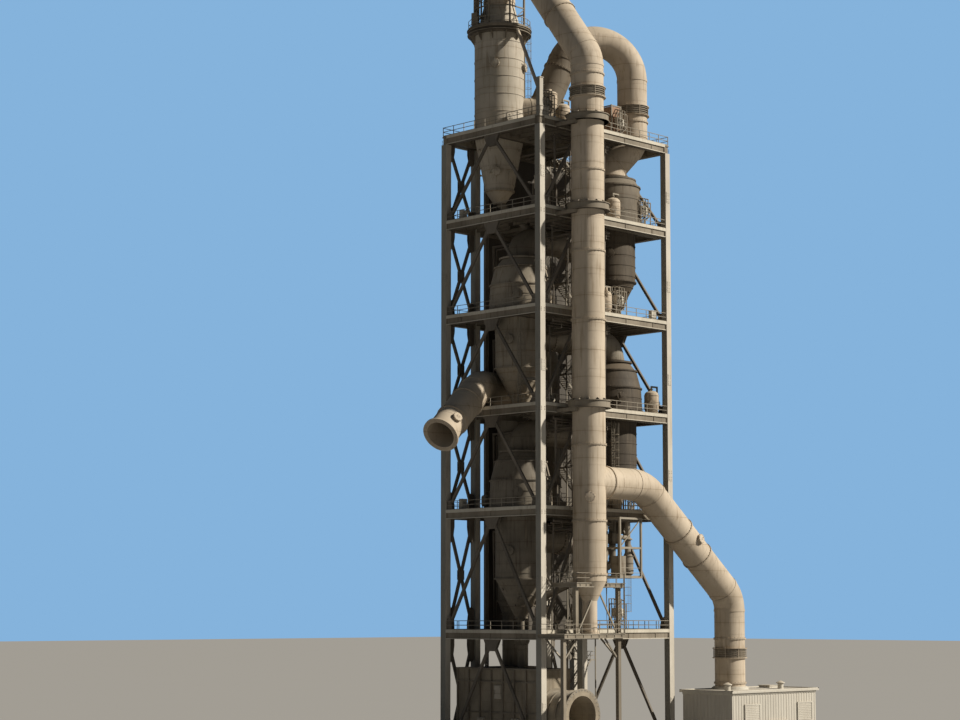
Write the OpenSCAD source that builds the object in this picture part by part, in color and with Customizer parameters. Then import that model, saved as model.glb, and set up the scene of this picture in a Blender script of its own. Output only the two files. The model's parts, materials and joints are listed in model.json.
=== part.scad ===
// Cement kiln preheater tower, scale model 1:10, in millimetres.
// Every length below is a tenth of the real one: 100 here is 1 m on the plant.
// X runs along the long side of the frame, Y along the short side, Z up from the ground.

/* [Frame] */
// Length of the frame between the centres of its end columns
tower_x = 2160; // [2000:10:2500]
// Depth of the frame between the centres of its front and back columns
tower_y = 1500; // [1440:10:1700]
// Side of a square box column
column_w = 80; // [60:2:110]
// Centre of the second front column, behind the downcomer
front_column_x = 660; // [650:5:700]
// Width of each braced end bay in the back
end_bay = 480; // [400:10:560]
// Side of a footing block
footing_w = 170; // [140:5:200]
// Height of a footing block
footing_h = 40; // [20:5:60]
// Height of the slim post above the front left column
mast_h = 330; // [200:10:500]
// Side of that post
mast_w = 54; // [30:2:60]

/* [Floors] */
// Centre of the first floor's beams
level_1 = 1360; // [1330:5:1400]
// Centre of the second floor's beams
level_2 = 2720; // [2700:5:2740]
// Centre of the third floor's beams
level_3 = 3860; // [3845:5:3880]
// Centre of the fourth floor's beams
level_4 = 4960; // [4945:5:4980]
// Centre of the fifth floor's beams
level_5 = 6070; // [6055:5:6090]
// Centre of the top floor's beams
level_6 = 7080; // [7060:5:7110]
// Depth of a floor beam
beam_h = 84; // [60:2:100]
// Width of a floor beam
beam_w = 50; // [40:5:60]
// Thickness of a deck plate
deck_t = 12; // [8:1:20]
// Reach of the deck plate past the beams
deck_lip = 9; // [0:1:10]
// Gap around what passes through a deck
deck_gap = 6; // [3:1:12]
// Length of the stairwell along X
stairwell_l = 500; // [460:10:520]
// Width of the stairwell along Y
stairwell_w = 300; // [260:10:320]
// Distance of the stairwell from the back row of columns
stairwell_back = 120; // [110:2:140]

/* [Bracing and railings] */
// Width of a brace, seen from the side
brace_w = 32; // [24:2:60]
// Thickness of a brace
brace_t = 26; // [20:2:44]
// Height of a railing
rail_h = 112; // [90:2:130]
// Thickness of rails and posts
rail_t = 6; // [4:1:8]
// Distance between railing posts
rail_pitch = 170; // [120:10:240]
// Height of the toe board
toe_h = 16; // [8:2:24]
// Left end of the sheeting on the back face, along X
sheeting_x = 640; // [560:10:760]
// Thickness of that sheeting
sheeting_t = 12; // [8:1:20]

/* [Cyclones] */
// Centre of the left stack along X
left_x = 400; // [395:1:410]
// Centre of the left stack along Y
left_y = 690; // [670:5:700]
// Centre of the right stack along X
right_x = 1650; // [1630:5:1670]
// Centre of the right stack along Y
right_y = 420; // [415:1:440]
// Centre of the top cyclone and the downcomer along X
top_x = 465; // [455:5:475]
// Centre of the top cyclone along Y
top_y = 1090; // [1070:5:1100]
// Outer radius of the top cyclone
top_r = 290; // [260:5:300]
// Top of the top cyclone's barrel
top_z = 8440; // [8300:10:8500]
// Outer radius of a lower cyclone's barrel
barrel_r = 290; // [260:5:300]
// Outer radius of a conical roof at its foot
bell_r = 360; // [330:1:365]
// Outer radius of a conical roof at its head
bell_top_r = 200; // [190:2:210]
// Height of the conical roof under the arched duct
bell_h = 560; // [540:5:570]
// Width of the ring that carries a vessel on its deck
seat_w = 22; // [12:1:26]
// Thickness of that ring
seat_h = 40; // [20:2:50]
// Wall of a vessel with its lining
shell_t = 25; // [12:1:35]
// Radius of a cyclone's cone at its tip
tip_r = 70; // [55:1:80]
// Radius at which the top cyclone's cone turns steep
top_cone_r = 165; // [120:5:200]

/* [Ducts] */
// Wall of a duct with its lining
duct_t = 18; // [8:1:24]
// Outer radius of the gooseneck and the downcomer
downcomer_r = 184; // [160:2:190]
// Centre of the downcomer in front of the frame, along Y
downcomer_y = -295; // [-310:5:-290]
// Bend radius of the gooseneck
gooseneck_bend = 320; // [280:10:340]
// Height of the gooseneck's crown above the top cyclone's neck
gooseneck_rise = 380; // [330:5:450]
// Height of the conical roof of the top cyclone
neck_h = 250; // [220:5:280]
// Slope of the gooseneck's falling leg, degrees below level
gooseneck_slope = 54; // [50:1:58]
// Outer radius of the collars that carry the downcomer
collar_r = 238; // [225:1:240]
// Height of a collar
collar_h = 80; // [50:5:110]
// Foot of the downcomer
downcomer_z = 1960; // [1950:5:2000]
// Radius of the dust pipe under the downcomer
dust_r = 80; // [60:2:90]
// Outer radius of the arched duct above the top floor
arch_r = 177; // [165:1:180]
// Centre of its right leg along X
arch_x = 1920; // [1900:5:1930]
// Centre of its right leg along Y
arch_y = 300; // [290:5:320]
// Bend radius of the arch
arch_bend = 452; // [420:2:480]
// Height of the arch's centre line at its crown
arch_z = 8382; // [8300:10:8420]
// Height of its inlet into the top cyclone
arch_inlet_z = 7450; // [7420:10:7500]
// Outer radius of the ducts between the lower cyclones
transfer_r = 150; // [130:2:155]
// Outer radius of the calciner
calciner_r = 205; // [190:5:208]
// Centre of the calciner along X
calciner_x = 860; // [850:5:870]
// Outer radius of the narrow neck at the calciner's foot
neck_r = 150; // [130:5:170]
// Length of that neck
calciner_neck_h = 600; // [540:10:640]
// Outer radius of the duct from the calciner
loop_r = 172; // [160:2:176]
// Distance between the calciner and the falling leg of its duct
loop_span = 520; // [510:5:530]
// Outer radius of the tertiary air duct
air_r = 180; // [170:2:182]
// Where that duct crosses the left face, along Y
air_entry_y = 1000; // [995:5:1010]
// Height at which it crosses the left face
air_entry_z = 4130; // [4120:5:4150]
// Slope of the tertiary air duct, degrees
air_slope = 36; // [34:1:38]
// Turn of that duct away from X, degrees
air_turn = 15; // [14:1:16]
// Height of its level run into the calciner
air_level = 4180; // [4170:5:4190]
// Reach of the duct outside the left face, along X
air_reach = 760; // [400:10:900]
// Outer radius of a duct flange, past the duct
flange_lip = 30; // [24:1:40]
// Thickness of a duct flange
flange_t = 20; // [12:1:30]
// Radius of a flange's bolt holes
bolt_hole_r = 6; // [4:0.5:8]
// Number of bolt holes in the tertiary air flange
bolt_count = 12; // [8:1:16]
// Width of the raised ring over a duct joint
band_w = 30; // [20:2:40]
// Height of that ring above the duct
band_lip = 5; // [3:1:8]
// Outer radius of a meal pipe
meal_r = 40; // [30:1:46]
// Radius of the feed pipe to the top cyclone
feed_r = 20; // [12:1:26]

/* [Exhaust duct and fan house] */
// Outer radius of the exhaust duct
exhaust_r = 178; // [164:2:182]
// Height of the exhaust duct's level run
exhaust_z = 3050; // [3000:10:3100]
// Where the exhaust duct turns down, along X
exhaust_turn_x = 1360; // [1300:10:1420]
// Slope of the exhaust duct, degrees below level
exhaust_slope = 39; // [37:1:41]
// Centre of the exhaust duct's upright leg along X
exhaust_leg_x = 2910; // [2860:10:2960]
// Left side of the fan house
fan_x = 2290; // [2280:5:2320]
// Length of the fan house
fan_l = 1590; // [1400:10:1800]
// Depth of the fan house
fan_d = 720; // [640:10:800]
// Front of the fan house
fan_y = -810; // [-860:10:-760]
// Height of the fan house walls
fan_h = 700; // [600:10:800]
// Thickness of the fan house roof slab
roof_t = 22; // [14:1:40]
// Reach of the roof slab past the walls
roof_lip = 30; // [10:1:50]

/* [Foot of the tower] */
// Height of the kiln's centre line
kiln_z = 500; // [480:5:520]
// Radius of the opening that takes the kiln
kiln_r = 215; // [200:1:225]
// Outer radius of the seal hood around it
hood_r = 262; // [250:1:275]
// Length of the seal hood
hood_l = 400; // [300:10:420]
// Half the width of the inlet chamber
chamber_w = 240; // [230:5:245]
// Height of the inlet chamber
chamber_h = 1000; // [960:10:1040]
// Left end of the hopper platforms
platform_x = -80; // [-100:5:0]
// Right end of the hopper platforms
platform_end = 900; // [880:5:1000]
// Front of the hopper platforms
platform_y = -420; // [-440:5:-410]
// Left end of the upper hopper platform
platform_top_x = 120; // [100:5:130]
// Height of the upper hopper platform
platform_top_z = 1940; // [1930:2:1944]
// Thickness of a hopper platform
platform_t = 50; // [30:2:60]
// Side of a platform post
platform_post = 44; // [30:2:56]

/* [Hidden] */
$fn = 64;

steel = "#b5a788";
steel_light = "#c9bfa6";
vessel = "#a8997a";
duct = "#c2ad86";
concrete = "#a9a498";
cladding = "#cfcabd";
sheeting = "#4a4238";
eps = 1;
joint_gap = 2;
half_col = column_w / 2;
half_beam = beam_w / 2;
levels = [level_1, level_2, level_3, level_4, level_5, level_6];
front_xs = [0, front_column_x, tower_x];
back_xs = [0, end_bay, tower_x - end_bay, tower_x];
deck_edge = half_beam + deck_lip;
column_top = level_6 - beam_h / 2;
kiln_x = front_column_x / 2;

function deck_z(i) = levels[i - 1] + beam_h / 2 + deck_t;
function under_z(i) = levels[i - 1] - beam_h / 2;
function unit(v) = v / norm(v);

// Cyclone heights, from the decks that carry them
cone_clear = 30;
pipe_clear = 10;
top_cone_z = deck_z(6);
top_tip_z = 6350;
air_dir = [cos(air_slope) * cos(air_turn), cos(air_slope) * sin(air_turn), sin(air_slope)];
air_entry = [0, air_entry_y, air_entry_z];
air_bend = air_entry + air_dir * (air_level - air_entry_z) / air_dir.z;
air_flange = air_entry - air_dir * air_reach / air_dir.x;
calciner_y = air_bend.y + (calciner_x - air_bend.x) * tan(air_turn);
loop_x = calciner_x + loop_span;
loop_top_z = under_z(4) - loop_r - pipe_clear;
loop_low_z = under_z(2) - loop_r - 38;

// Outside of the whole model, which centres it on its origin
flange_r = air_r + flange_lip;
x_min = air_flange.x - flange_r * sqrt(1 - air_dir.x * air_dir.x);
x_max = fan_x + fan_l + roof_lip;
y_min = fan_y - roof_lip;
y_max = tower_y + footing_w / 2;
centre = [(x_min + x_max) / 2, (y_min + y_max) / 2, 0];

module placed() {
    translate(-centre) children();
}

// Turns local Z to the direction d, with the given side as local X
module along(p, d, side) {
    x = unit(side);
    y = cross(d, x);
    multmatrix([
        [x.x, y.x, d.x, p.x],
        [x.y, y.y, d.y, p.y],
        [x.z, y.z, d.z, p.z]
    ]) children();
}

// A direction square to d
function square_to(d) = abs(d.z) > 0.9 ? unit(cross([0, 1, 0], d)) : unit(cross([0, 0, 1], d));

// A straight bar or pipe between two points: a wall of 0 makes it solid
module ring(r, wall) {
    difference() {
        circle(r = r);
        if (wall > 0) circle(r = r - wall);
    }
}

module tube_run(a, b, r, wall = 0, side = [0, 0, 0]) {
    d = unit(b - a);
    along(a, d, norm(side) > 0 ? side : square_to(d)) linear_extrude(norm(b - a)) ring(r, wall);
}

// Square to the plane of the corner at b
function corner_normal(a, b, c) = unit(cross(unit(b - a), unit(c - b)));

// Turn at the corner b, and the straight that a bend of radius R takes from each side of it
function corner_turn(a, b, c) = acos(unit(b - a) * unit(c - b));
function bend_cut(a, b, c, R) = R * tan(corner_turn(a, b, c) / 2);

module elbow(a, b, c, R, r, wall = 0) {
    u = unit(b - a);
    v = unit(c - b);
    inward = unit(v - u * (u * v));
    hub = b - u * bend_cut(a, b, c, R) + inward * R;
    z = cross(-inward, u);
    multmatrix([
        [-inward.x, u.x, z.x, hub.x],
        [-inward.y, u.y, z.y, hub.y],
        [-inward.z, u.z, z.z, hub.z]
    ]) rotate_extrude(angle = corner_turn(a, b, c)) translate([R, 0]) ring(r, wall);
}

// The raised ring that covers the joint between a straight and a bend
module band(p, d, r, wall) {
    along(p - d * band_w / 2, d, square_to(d)) linear_extrude(band_w)
        ring(r + band_lip, wall > 0 ? band_lip + wall + joint_gap : 0);
}

// A round bar or pipe along corner points, with a bend radius at each inner corner
module bent(points, bends, r, wall = 0) {
    n = len(points);
    cuts = [for (i = [0:n - 1])
        i == 0 || i == n - 1 ? 0 : bend_cut(points[i - 1], points[i], points[i + 1], bends[i - 1])];
    for (i = [0:n - 2]) {
        gap = points[i + 1] - points[i];
        d = unit(gap);
        k = max(1, min(n - 2, i));
        first = cuts[i] + (i > 0 ? joint_gap : 0);
        last = cuts[i + 1] + (i < n - 2 ? joint_gap : 0);
        tube_run(points[i] + d * first, points[i + 1] - d * last, r, wall,
            corner_normal(points[k - 1], points[k], points[k + 1]));
    }
    for (i = [1:n - 2]) {
        u = unit(points[i] - points[i - 1]);
        v = unit(points[i + 1] - points[i]);
        elbow(points[i - 1], points[i], points[i + 1], bends[i - 1], r, wall);
        band(points[i] - u * cuts[i], u, r, wall);
        band(points[i] + v * cuts[i], v, r, wall);
    }
}

module bent_duct(points, bends, r) {
    bent(points, bends, r, duct_t);
}

// The room that straight legs need where they pass through something
module leg_room(points, r) {
    for (i = [0:len(points) - 2]) tube_run(points[i], points[i + 1], r + band_lip + deck_gap);
}

// A vessel wall turned from its outer profile, open at both ends
module vessel_wall(profile, wall) {
    inner = [for (i = [len(profile) - 1:-1:0]) [profile[i].x - wall, profile[i].y]];
    rotate_extrude() polygon(concat(profile, inner));
}

module vessel_solid(profile) {
    n = len(profile);
    rotate_extrude() polygon(concat([[0, profile[0].y]], profile, [[0, profile[n - 1].y]]));
}

// Cyclone bodies: profile from the tip up
function body_profile(i, r, tip_z) =
    let (top = deck_z(i), low = tip_z + (r - tip_r) * 1.95)
    [[tip_r, tip_z], [r, low], [r, top]];
profile_2 = body_profile(5, barrel_r, deck_z(4) + cone_clear);
profile_3 = body_profile(4, barrel_r, deck_z(3) + cone_clear);
profile_4 = body_profile(3, barrel_r, deck_z(2) + 2 * cone_clear);
profile_5 = body_profile(2, barrel_r, deck_z(1) + 5 * cone_clear);
profile_1 = [
    [tip_r, top_tip_z], [top_cone_r, top_tip_z + 1.5 * (top_cone_r - tip_r)],
    [top_r, top_cone_z], [top_r, top_z]
];

module at_left() { translate([left_x, left_y, 0]) children(); }
module at_right() { translate([right_x, right_y, 0]) children(); }
module at_top() { translate([top_x, top_y, 0]) children(); }

// Conical roof with the ring that rests on the deck, and the level run that leaves it
transfer_bend = transfer_r * 1.27;
function transfer_z(i) = under_z(i + 1) - transfer_r - pipe_clear;
function bell_foot(i) = deck_z(i) + seat_h;
function bell_head(i) = i == 5 ? bell_foot(i) + bell_h : transfer_z(i) - transfer_bend - band_w;
// The roof stands almost upright at its foot and closes in towards its head
function bell_profile(i, head_r) =
    let (foot = bell_foot(i), h = bell_head(i) - foot, inset = bell_r - head_r,
        upright = i == 5 ? 0.78 : 0.45, shoulder = i == 5 ? 0.94 : 0.8)
    [[bell_r, foot], [bell_r - inset * 0.08, foot + h * upright],
    [bell_r - inset * 0.42, foot + h * shoulder], [head_r, foot + h]];
function inner_bell(profile) = [
    [profile[0].x - shell_t - seat_w, profile[0].y - eps],
    [profile[1].x - shell_t - seat_w / 2, profile[1].y],
    [profile[2].x - shell_t, profile[2].y - shell_t],
    [profile[3].x - shell_t, profile[3].y - seat_h / 2]
];
module bell(i, head_r, pipe_r) {
    foot = bell_foot(i);
    head = bell_head(i);
    profile = bell_profile(i, head_r);
    translate([0, 0, deck_z(i)]) difference() {
        cylinder(h = seat_h, r = bell_r + seat_w / 2);
        translate([0, 0, -eps]) cylinder(h = seat_h + 2 * eps, r = barrel_r - shell_t);
    }
    difference() {
        union() {
            vessel_solid(profile);
            translate([0, 0, head - seat_h / 2]) cylinder(h = seat_h / 2, r = head_r + 2 * seat_w);
        }
        vessel_solid(inner_bell(profile));
        translate([0, 0, foot]) cylinder(h = head - foot + eps, r = pipe_r - duct_t);
    }
}

// Ducts between vessels: up from a conical roof and across to the next barrel
function over(from_xy, i, to_xy) = [
    [from_xy.x, from_xy.y, bell_head(i)],
    [from_xy.x, from_xy.y, transfer_z(i)],
    [to_xy.x, to_xy.y, transfer_z(i)]
];
function on_duct(path, t) = path[1] + (path[2] - path[1]) * t;
left_xy = [left_x, left_y];
right_xy = [right_x, right_y];
path_32 = over(left_xy, 4, right_xy);
path_43 = over(right_xy, 3, left_xy);
path_54 = over(left_xy, 2, right_xy);

// The arched duct stands in one upright plane through the top cyclone
arch_plan = unit([top_x - arch_x, top_y - arch_y, 0]);
arch_turn = 157;
arch_corner_z = arch_z + arch_bend * (tan(arch_turn / 2) - 1);
arch_drop = (arch_corner_z - arch_inlet_z) * tan(180 - arch_turn);
offset_bend = arch_r * 1.13;
arch_offset_z = bell_head(5) + offset_bend / 2 + pipe_clear;
arch_straight_z = deck_z(6) + band_w;
u_path = [
    [right_x, right_y, bell_head(5)],
    [right_x, right_y, arch_offset_z],
    [arch_x, arch_y, arch_straight_z],
    [arch_x, arch_y, arch_corner_z],
    [arch_x, arch_y, arch_inlet_z] + arch_plan * arch_drop,
    [top_x, top_y, arch_inlet_z]
];
u_bends = [offset_bend, offset_bend, arch_bend, arch_r * 1.25];

// Gooseneck from the top cyclone's neck to the downcomer
neck_z = top_z + neck_h;
gooseneck_z = neck_z + gooseneck_rise;
goose_turn = 90 + gooseneck_slope;
goose_corner_z = gooseneck_z + gooseneck_bend * (tan(goose_turn / 2) - 1);
goose_low = goose_corner_z - (top_y - downcomer_y) * tan(gooseneck_slope);
goose_foot_bend = downcomer_r * 1.63;
goose_end_z = goose_low - goose_foot_bend * tan(45 - gooseneck_slope / 2) - 2 * band_w;
goose_path = [
    [top_x, top_y, neck_z],
    [top_x, top_y, goose_corner_z],
    [top_x, downcomer_y, goose_low],
    [top_x, downcomer_y, goose_end_z]
];
goose_bends = [gooseneck_bend, goose_foot_bend];

exhaust_drop = (exhaust_leg_x - exhaust_turn_x) * tan(exhaust_slope);
exhaust_path = [
    [top_x, downcomer_y, exhaust_z],
    [exhaust_turn_x, downcomer_y, exhaust_z],
    [exhaust_leg_x, downcomer_y, exhaust_z - exhaust_drop],
    [exhaust_leg_x, downcomer_y, fan_h + roof_t + flange_t / 2]
];
exhaust_bends = [exhaust_r * 2.9, exhaust_r * 1.8];

loop_bend = loop_span / 2 - 22;
loop_path = [
    [calciner_x, calciner_y, loop_top_z - loop_bend - 40],
    [calciner_x, calciner_y, loop_top_z],
    [loop_x, calciner_y, loop_top_z],
    [loop_x, calciner_y, loop_low_z],
    [loop_x, left_y, loop_low_z],
    [left_x, left_y, loop_low_z]
];
loop_bends = [loop_bend, loop_bend, loop_r * 1.17, loop_r * 1.17];

air_path = [air_flange, air_bend, [calciner_x, calciner_y, air_level]];

// Meal pipes: from each cone's tip into the duct below
calciner_low = chamber_h + calciner_neck_h;
meal_1 = [[top_x, top_y, top_tip_z], on_duct(path_32, 0.26)];
meal_2 = [[right_x, right_y, profile_2[0].y], on_duct(path_43, 0.335)];
meal_3 = [[left_x, left_y, profile_3[0].y], on_duct(path_54, 0.335)];
meal_4_z = loop_low_z - loop_r - 3 * meal_r;
meal_4 = [[right_x, right_y, profile_4[0].y], [right_x, right_y, meal_4_z],
    [calciner_x, calciner_y, calciner_low + meal_r]];
meal_5 = [[left_x, left_y, profile_5[0].y], [left_x, left_y, chamber_h]];
calciner_top = loop_path[0].z;
calciner_profile = [
    [neck_r, chamber_h], [neck_r, calciner_low], [calciner_r, calciner_low + neck_r],
    [calciner_r, calciner_top - 2 * band_w], [loop_r, calciner_top]
];
module at_calciner() { translate([calciner_x, calciner_y, 0]) children(); }

// Footings

module footing(x, y, w) {
    translate([x - w / 2, y - w / 2, 0]) cube([w, w, footing_h]);
}

// Posts of the hopper platforms: the lower row stands beside the kiln's way in
low_post_xs = [platform_x + platform_post, platform_end - platform_post];
top_post_xs = [platform_top_x + platform_post, platform_end - platform_post];
post_y = platform_y + 60;

module footings() {
    color(concrete) placed() {
        for (x = front_xs) footing(x, 0, footing_w);
        for (x = back_xs) footing(x, tower_y, footing_w);
        for (x = low_post_xs) footing(x, post_y, footing_w * 0.6);
    }
}

module column(x, y, top) {
    translate([x - half_col, y - half_col, footing_h]) cube([column_w, column_w, top - footing_h]);
}

module columns() {
    color(steel_light) placed() {
        for (x = front_xs) column(x, 0, column_top);
        for (x = back_xs) column(x, tower_y, column_top);
    }
}

module column_cuts() {
    for (x = front_xs) column(x, 0, column_top);
    for (x = back_xs) column(x, tower_y, column_top);
}

// Floors: edge beams, trimmers around each opening, and the deck plate

module beam_x(x0, x1, y) {
    translate([x0, y - half_beam, 0]) cube([x1 - x0, beam_w, beam_h]);
}

module beam_y(x, y0, y1) {
    translate([x - half_beam, y0, 0]) cube([beam_w, y1 - y0, beam_h]);
}

// holes: [x, y, radius] of each round opening
module floor_body(i, holes) {
    z = under_z(i);
    difference() {
        translate([0, 0, z]) {
            difference() {
                union() {
                    beam_x(-half_beam, tower_x + half_beam, 0);
                    beam_x(-half_beam, tower_x + half_beam, tower_y);
                    beam_y(0, 0, tower_y);
                    beam_y(tower_x, 0, tower_y);
                    beam_y(tower_x / 2, 0, tower_y);
                    for (h = holes) {
                        reach = h[2] + half_beam;
                        side = h.x < tower_x / 2 ? [0, tower_x / 2] : [tower_x / 2, tower_x];
                        if (h.y - reach > beam_w) beam_x(side[0], side[1], h.y - reach);
                        if (h.y + reach < tower_y - beam_w) beam_x(side[0], side[1], h.y + reach);
                    }
                    translate([-deck_edge, -deck_edge, beam_h])
                        cube([tower_x + 2 * deck_edge, tower_y + 2 * deck_edge, deck_t]);
                }
                for (h = holes) translate([h.x, h.y, -eps])
                    cylinder(h = beam_h + deck_t + 2 * eps, r = h[2] + deck_gap);
                translate([tower_x - beam_w - stairwell_l, tower_y - stairwell_back - stairwell_w, -eps])
                    cube([stairwell_l, stairwell_w, beam_h + deck_t + 2 * eps]);
            }
        }
        column_cuts();
    }
}

module pipe_hole(points) {
    for (i = [0:len(points) - 2]) tube_run(points[i], points[i + 1], meal_r + deck_gap);
}

riser_hole = [calciner_x, calciner_y, calciner_r];
loop_hole = [loop_x, calciner_y, loop_r];

module floor_1() {
    color(steel) placed() floor_body(1, [
        [left_x, left_y, meal_r], [calciner_x, calciner_y, neck_r]]);
}

module floor_2() {
    color(steel) placed() floor_body(2, [
        [left_x, left_y, barrel_r], riser_hole, loop_hole, [right_x, right_y, meal_r]]);
}

module floor_3() {
    color(steel) placed() difference() {
        floor_body(3, [[right_x, right_y, barrel_r], riser_hole, loop_hole]);
        pipe_hole(meal_3);
        leg_room(air_path, air_r);
    }
}

module floor_4() {
    color(steel) placed() difference() {
        floor_body(4, [[left_x, left_y, barrel_r]]);
        pipe_hole(meal_2);
    }
}

module floor_5() {
    color(steel) placed() difference() {
        floor_body(5, [[right_x, right_y, barrel_r]]);
        pipe_hole(meal_1);
    }
}

module floor_6() {
    color(steel) placed() difference() {
        floor_body(6, [[top_x, top_y, top_r]]);
        leg_room([for (i = [1:3]) u_path[i]], arch_r + deck_gap);
    }
}

// Bracing, drawn in the plane of each face and cut to the clear bay

module slant(a, b) {
    d = b - a;
    translate(a) rotate(atan2(d.y, d.x))
        translate([-brace_w, -brace_w / 2]) square([norm(d) + 2 * brace_w, brace_w]);
}

module clear_bay(x0, x1, z0, z1) {
    translate([x0, z0]) square([x1 - x0, z1 - z0]);
}

module bay_slants(x0, x1, z0, z1, pairs) {
    intersection() {
        clear_bay(x0, x1, z0, z1);
        union() for (p = pairs) slant(p[0], p[1]);
    }
}

module cross_bay(x0, x1, z0, z1) {
    bay_slants(x0, x1, z0, z1, [[[x0, z0], [x1, z1]], [[x0, z1], [x1, z0]]]);
}

module chevron_bay(x0, x1, z0, z1) {
    m = (x0 + x1) / 2;
    bay_slants(x0, m - joint_gap / 2, z0, z1, [[[x0, z0], [m, z1]]]);
    bay_slants(m + joint_gap / 2, x1, z0, z1, [[[x1, z0], [m, z1]]]);
}

module rising_bay(x0, x1, z0, z1) {
    bay_slants(x0, x1, z0, z1, [[[x0, z0], [x1, z1]]]);
}

// Clear height of the storey under floor i
function storey_low(i) = i == 1 ? footing_h : deck_z(i - 1);
function storey_high(i) = under_z(i);

module on_front_face(y) {
    translate([0, y + brace_t / 2, 0]) rotate([90, 0, 0]) linear_extrude(brace_t) children();
}

module on_side_face(x) {
    translate([x - brace_t / 2, 0, 0]) rotate([90, 0, 90]) linear_extrude(brace_t) children();
}

module bracing_front() {
    color(steel) placed() for (i = [2:6])
        on_front_face(0) rising_bay(half_col, front_column_x - half_col, storey_low(i), storey_high(i));
}

module bracing_back() {
    color(steel) placed() for (i = [1:6]) on_front_face(tower_y) {
        cross_bay(half_col, end_bay - half_col, storey_low(i), storey_high(i));
        cross_bay(tower_x - end_bay + half_col, tower_x - half_col, storey_low(i), storey_high(i));
    }
}

module bracing_left() {
    color(steel) placed() difference() {
        for (i = [1:6]) on_side_face(0)
            chevron_bay(half_col, tower_y - half_col, storey_low(i), storey_high(i));
        leg_room(air_path, air_r);
    }
}

module bracing_right() {
    color(steel) placed() for (i = [1:6]) on_side_face(tower_x)
        chevron_bay(half_col, tower_y - half_col, storey_low(i), storey_high(i));
}

// Railings: one flat panel between neighbouring columns

module rail_panel(x0, x1) {
    length = x1 - x0;
    count = max(1, floor(length / rail_pitch));
    pitch = (length - rail_t) / count;
    for (k = [0:count]) translate([x0 + k * pitch, 0]) square([rail_t, rail_h]);
    for (z = [rail_h - rail_t, rail_h / 2]) translate([x0, z]) square([length, rail_t]);
    translate([x0, 0]) square([length, toe_h]);
}

module rail_row(xs, i) {
    z = deck_z(i);
    ends = i == 6 ? half_beam : half_col;
    spans = i == 6 ? [[xs[0] - ends, xs[len(xs) - 1] + ends]]
        : [for (k = [0:len(xs) - 2]) [xs[k] + half_col, xs[k + 1] - half_col]];
    for (s = spans) translate([0, z]) rail_panel(s[0], s[1]);
}

module rails_along_x(y) {
    translate([0, y, 0]) rotate([90, 0, 0]) linear_extrude(rail_t) children();
}

module railings_front() {
    color(steel_light) placed() for (i = [1:6])
        rails_along_x(-deck_edge + rail_t + 2) rail_row(front_xs, i);
}

module railings_back() {
    color(steel_light) placed() for (i = [1:6])
        rails_along_x(tower_y + deck_edge - 2) rail_row(back_xs, i);
}

module rails_along_y(x) {
    translate([x, 0, 0]) rotate([90, 0, 90]) linear_extrude(rail_t) children();
}

module railings_left() {
    color(steel_light) placed() difference() {
        for (i = [1:6]) rails_along_y(-deck_edge + 2) rail_row([0, tower_y], i);
        leg_room(air_path, air_r);
    }
}

module railings_right() {
    color(steel_light) placed() for (i = [1:6])
        rails_along_y(tower_x + deck_edge - rail_t - 2) rail_row([0, tower_y], i);
}

// Weather sheeting between the floors of the back face, against the inner side of its beams
module sheet_panel(x0, x1, i) {
    translate([x0, tower_y - half_beam, storey_low(i)])
        cube([x1 - x0, sheeting_t, storey_high(i) - storey_low(i)]);
}

module back_sheeting() {
    color(sheeting) placed() for (i = [2:6]) {
        sheet_panel(sheeting_x, back_xs[2] - half_col, i);
        sheet_panel(back_xs[2] + half_col, tower_x - half_col, i);
        translate([sheeting_x, tower_y - half_beam, storey_low(i)])
            cube([beam_w, beam_w, storey_high(i) - storey_low(i)]);
    }
}

// Cyclones

module cyclone_1_body() {
    color(vessel) placed() at_top() {
        vessel_wall(profile_1, shell_t);
        translate([0, 0, deck_z(6)]) difference() {
            cylinder(h = seat_h, r = top_r + 2 * seat_w);
            translate([0, 0, -eps]) cylinder(h = seat_h + 2 * eps, r = top_r - shell_t / 2);
        }
    }
}

module cyclone_1_roof() {
    wide = downcomer_r + 56;
    color(vessel) placed() at_top() difference() {
        union() {
            translate([0, 0, top_z]) cylinder(h = 20, r = top_r);
            translate([0, 0, top_z + 20]) cylinder(h = neck_z - top_z - 20, r1 = wide, r2 = downcomer_r);
        }
        translate([0, 0, top_z - eps]) cylinder(h = neck_z - top_z + 2 * eps, r = downcomer_r - shell_t);
    }
}

module cyclone_2_body() { color(vessel) placed() at_right() vessel_wall(profile_2, shell_t); }
module cyclone_2_roof() { color(vessel) placed() at_right() bell(5, arch_r + shell_t, arch_r); }
module cyclone_3_body() { color(vessel) placed() at_left() vessel_wall(profile_3, shell_t); }
module cyclone_3_roof() { color(vessel) placed() at_left() bell(4, bell_top_r, transfer_r); }
module cyclone_4_body() { color(vessel) placed() at_right() vessel_wall(profile_4, shell_t); }
module cyclone_4_roof() { color(vessel) placed() at_right() bell(3, bell_top_r, transfer_r); }
module cyclone_5_body() { color(vessel) placed() at_left() vessel_wall(profile_5, shell_t); }
module cyclone_5_roof() { color(vessel) placed() at_left() bell(2, bell_top_r, transfer_r); }

ring_reach = 80;
ring_z = top_z - 60;

module top_ring_platform() {
    color(steel) placed() at_top() translate([0, 0, ring_z]) {
        difference() {
            union() {
                translate([0, 0, -50]) cylinder(h = 50, r1 = top_r + 10, r2 = top_r + ring_reach - 10);
                cylinder(h = deck_t, r = top_r + ring_reach);
                cylinder(h = 40, r = top_r + ring_reach);
            }
            translate([0, 0, -60]) cylinder(h = 140, r = top_r);
            translate([0, 0, deck_t]) cylinder(h = 40, r = top_r + ring_reach - rail_t);
        }
    }
}

// Ducts

module gooseneck() {
    color(duct) placed() bent_duct(goose_path, goose_bends, downcomer_r);
}

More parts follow.
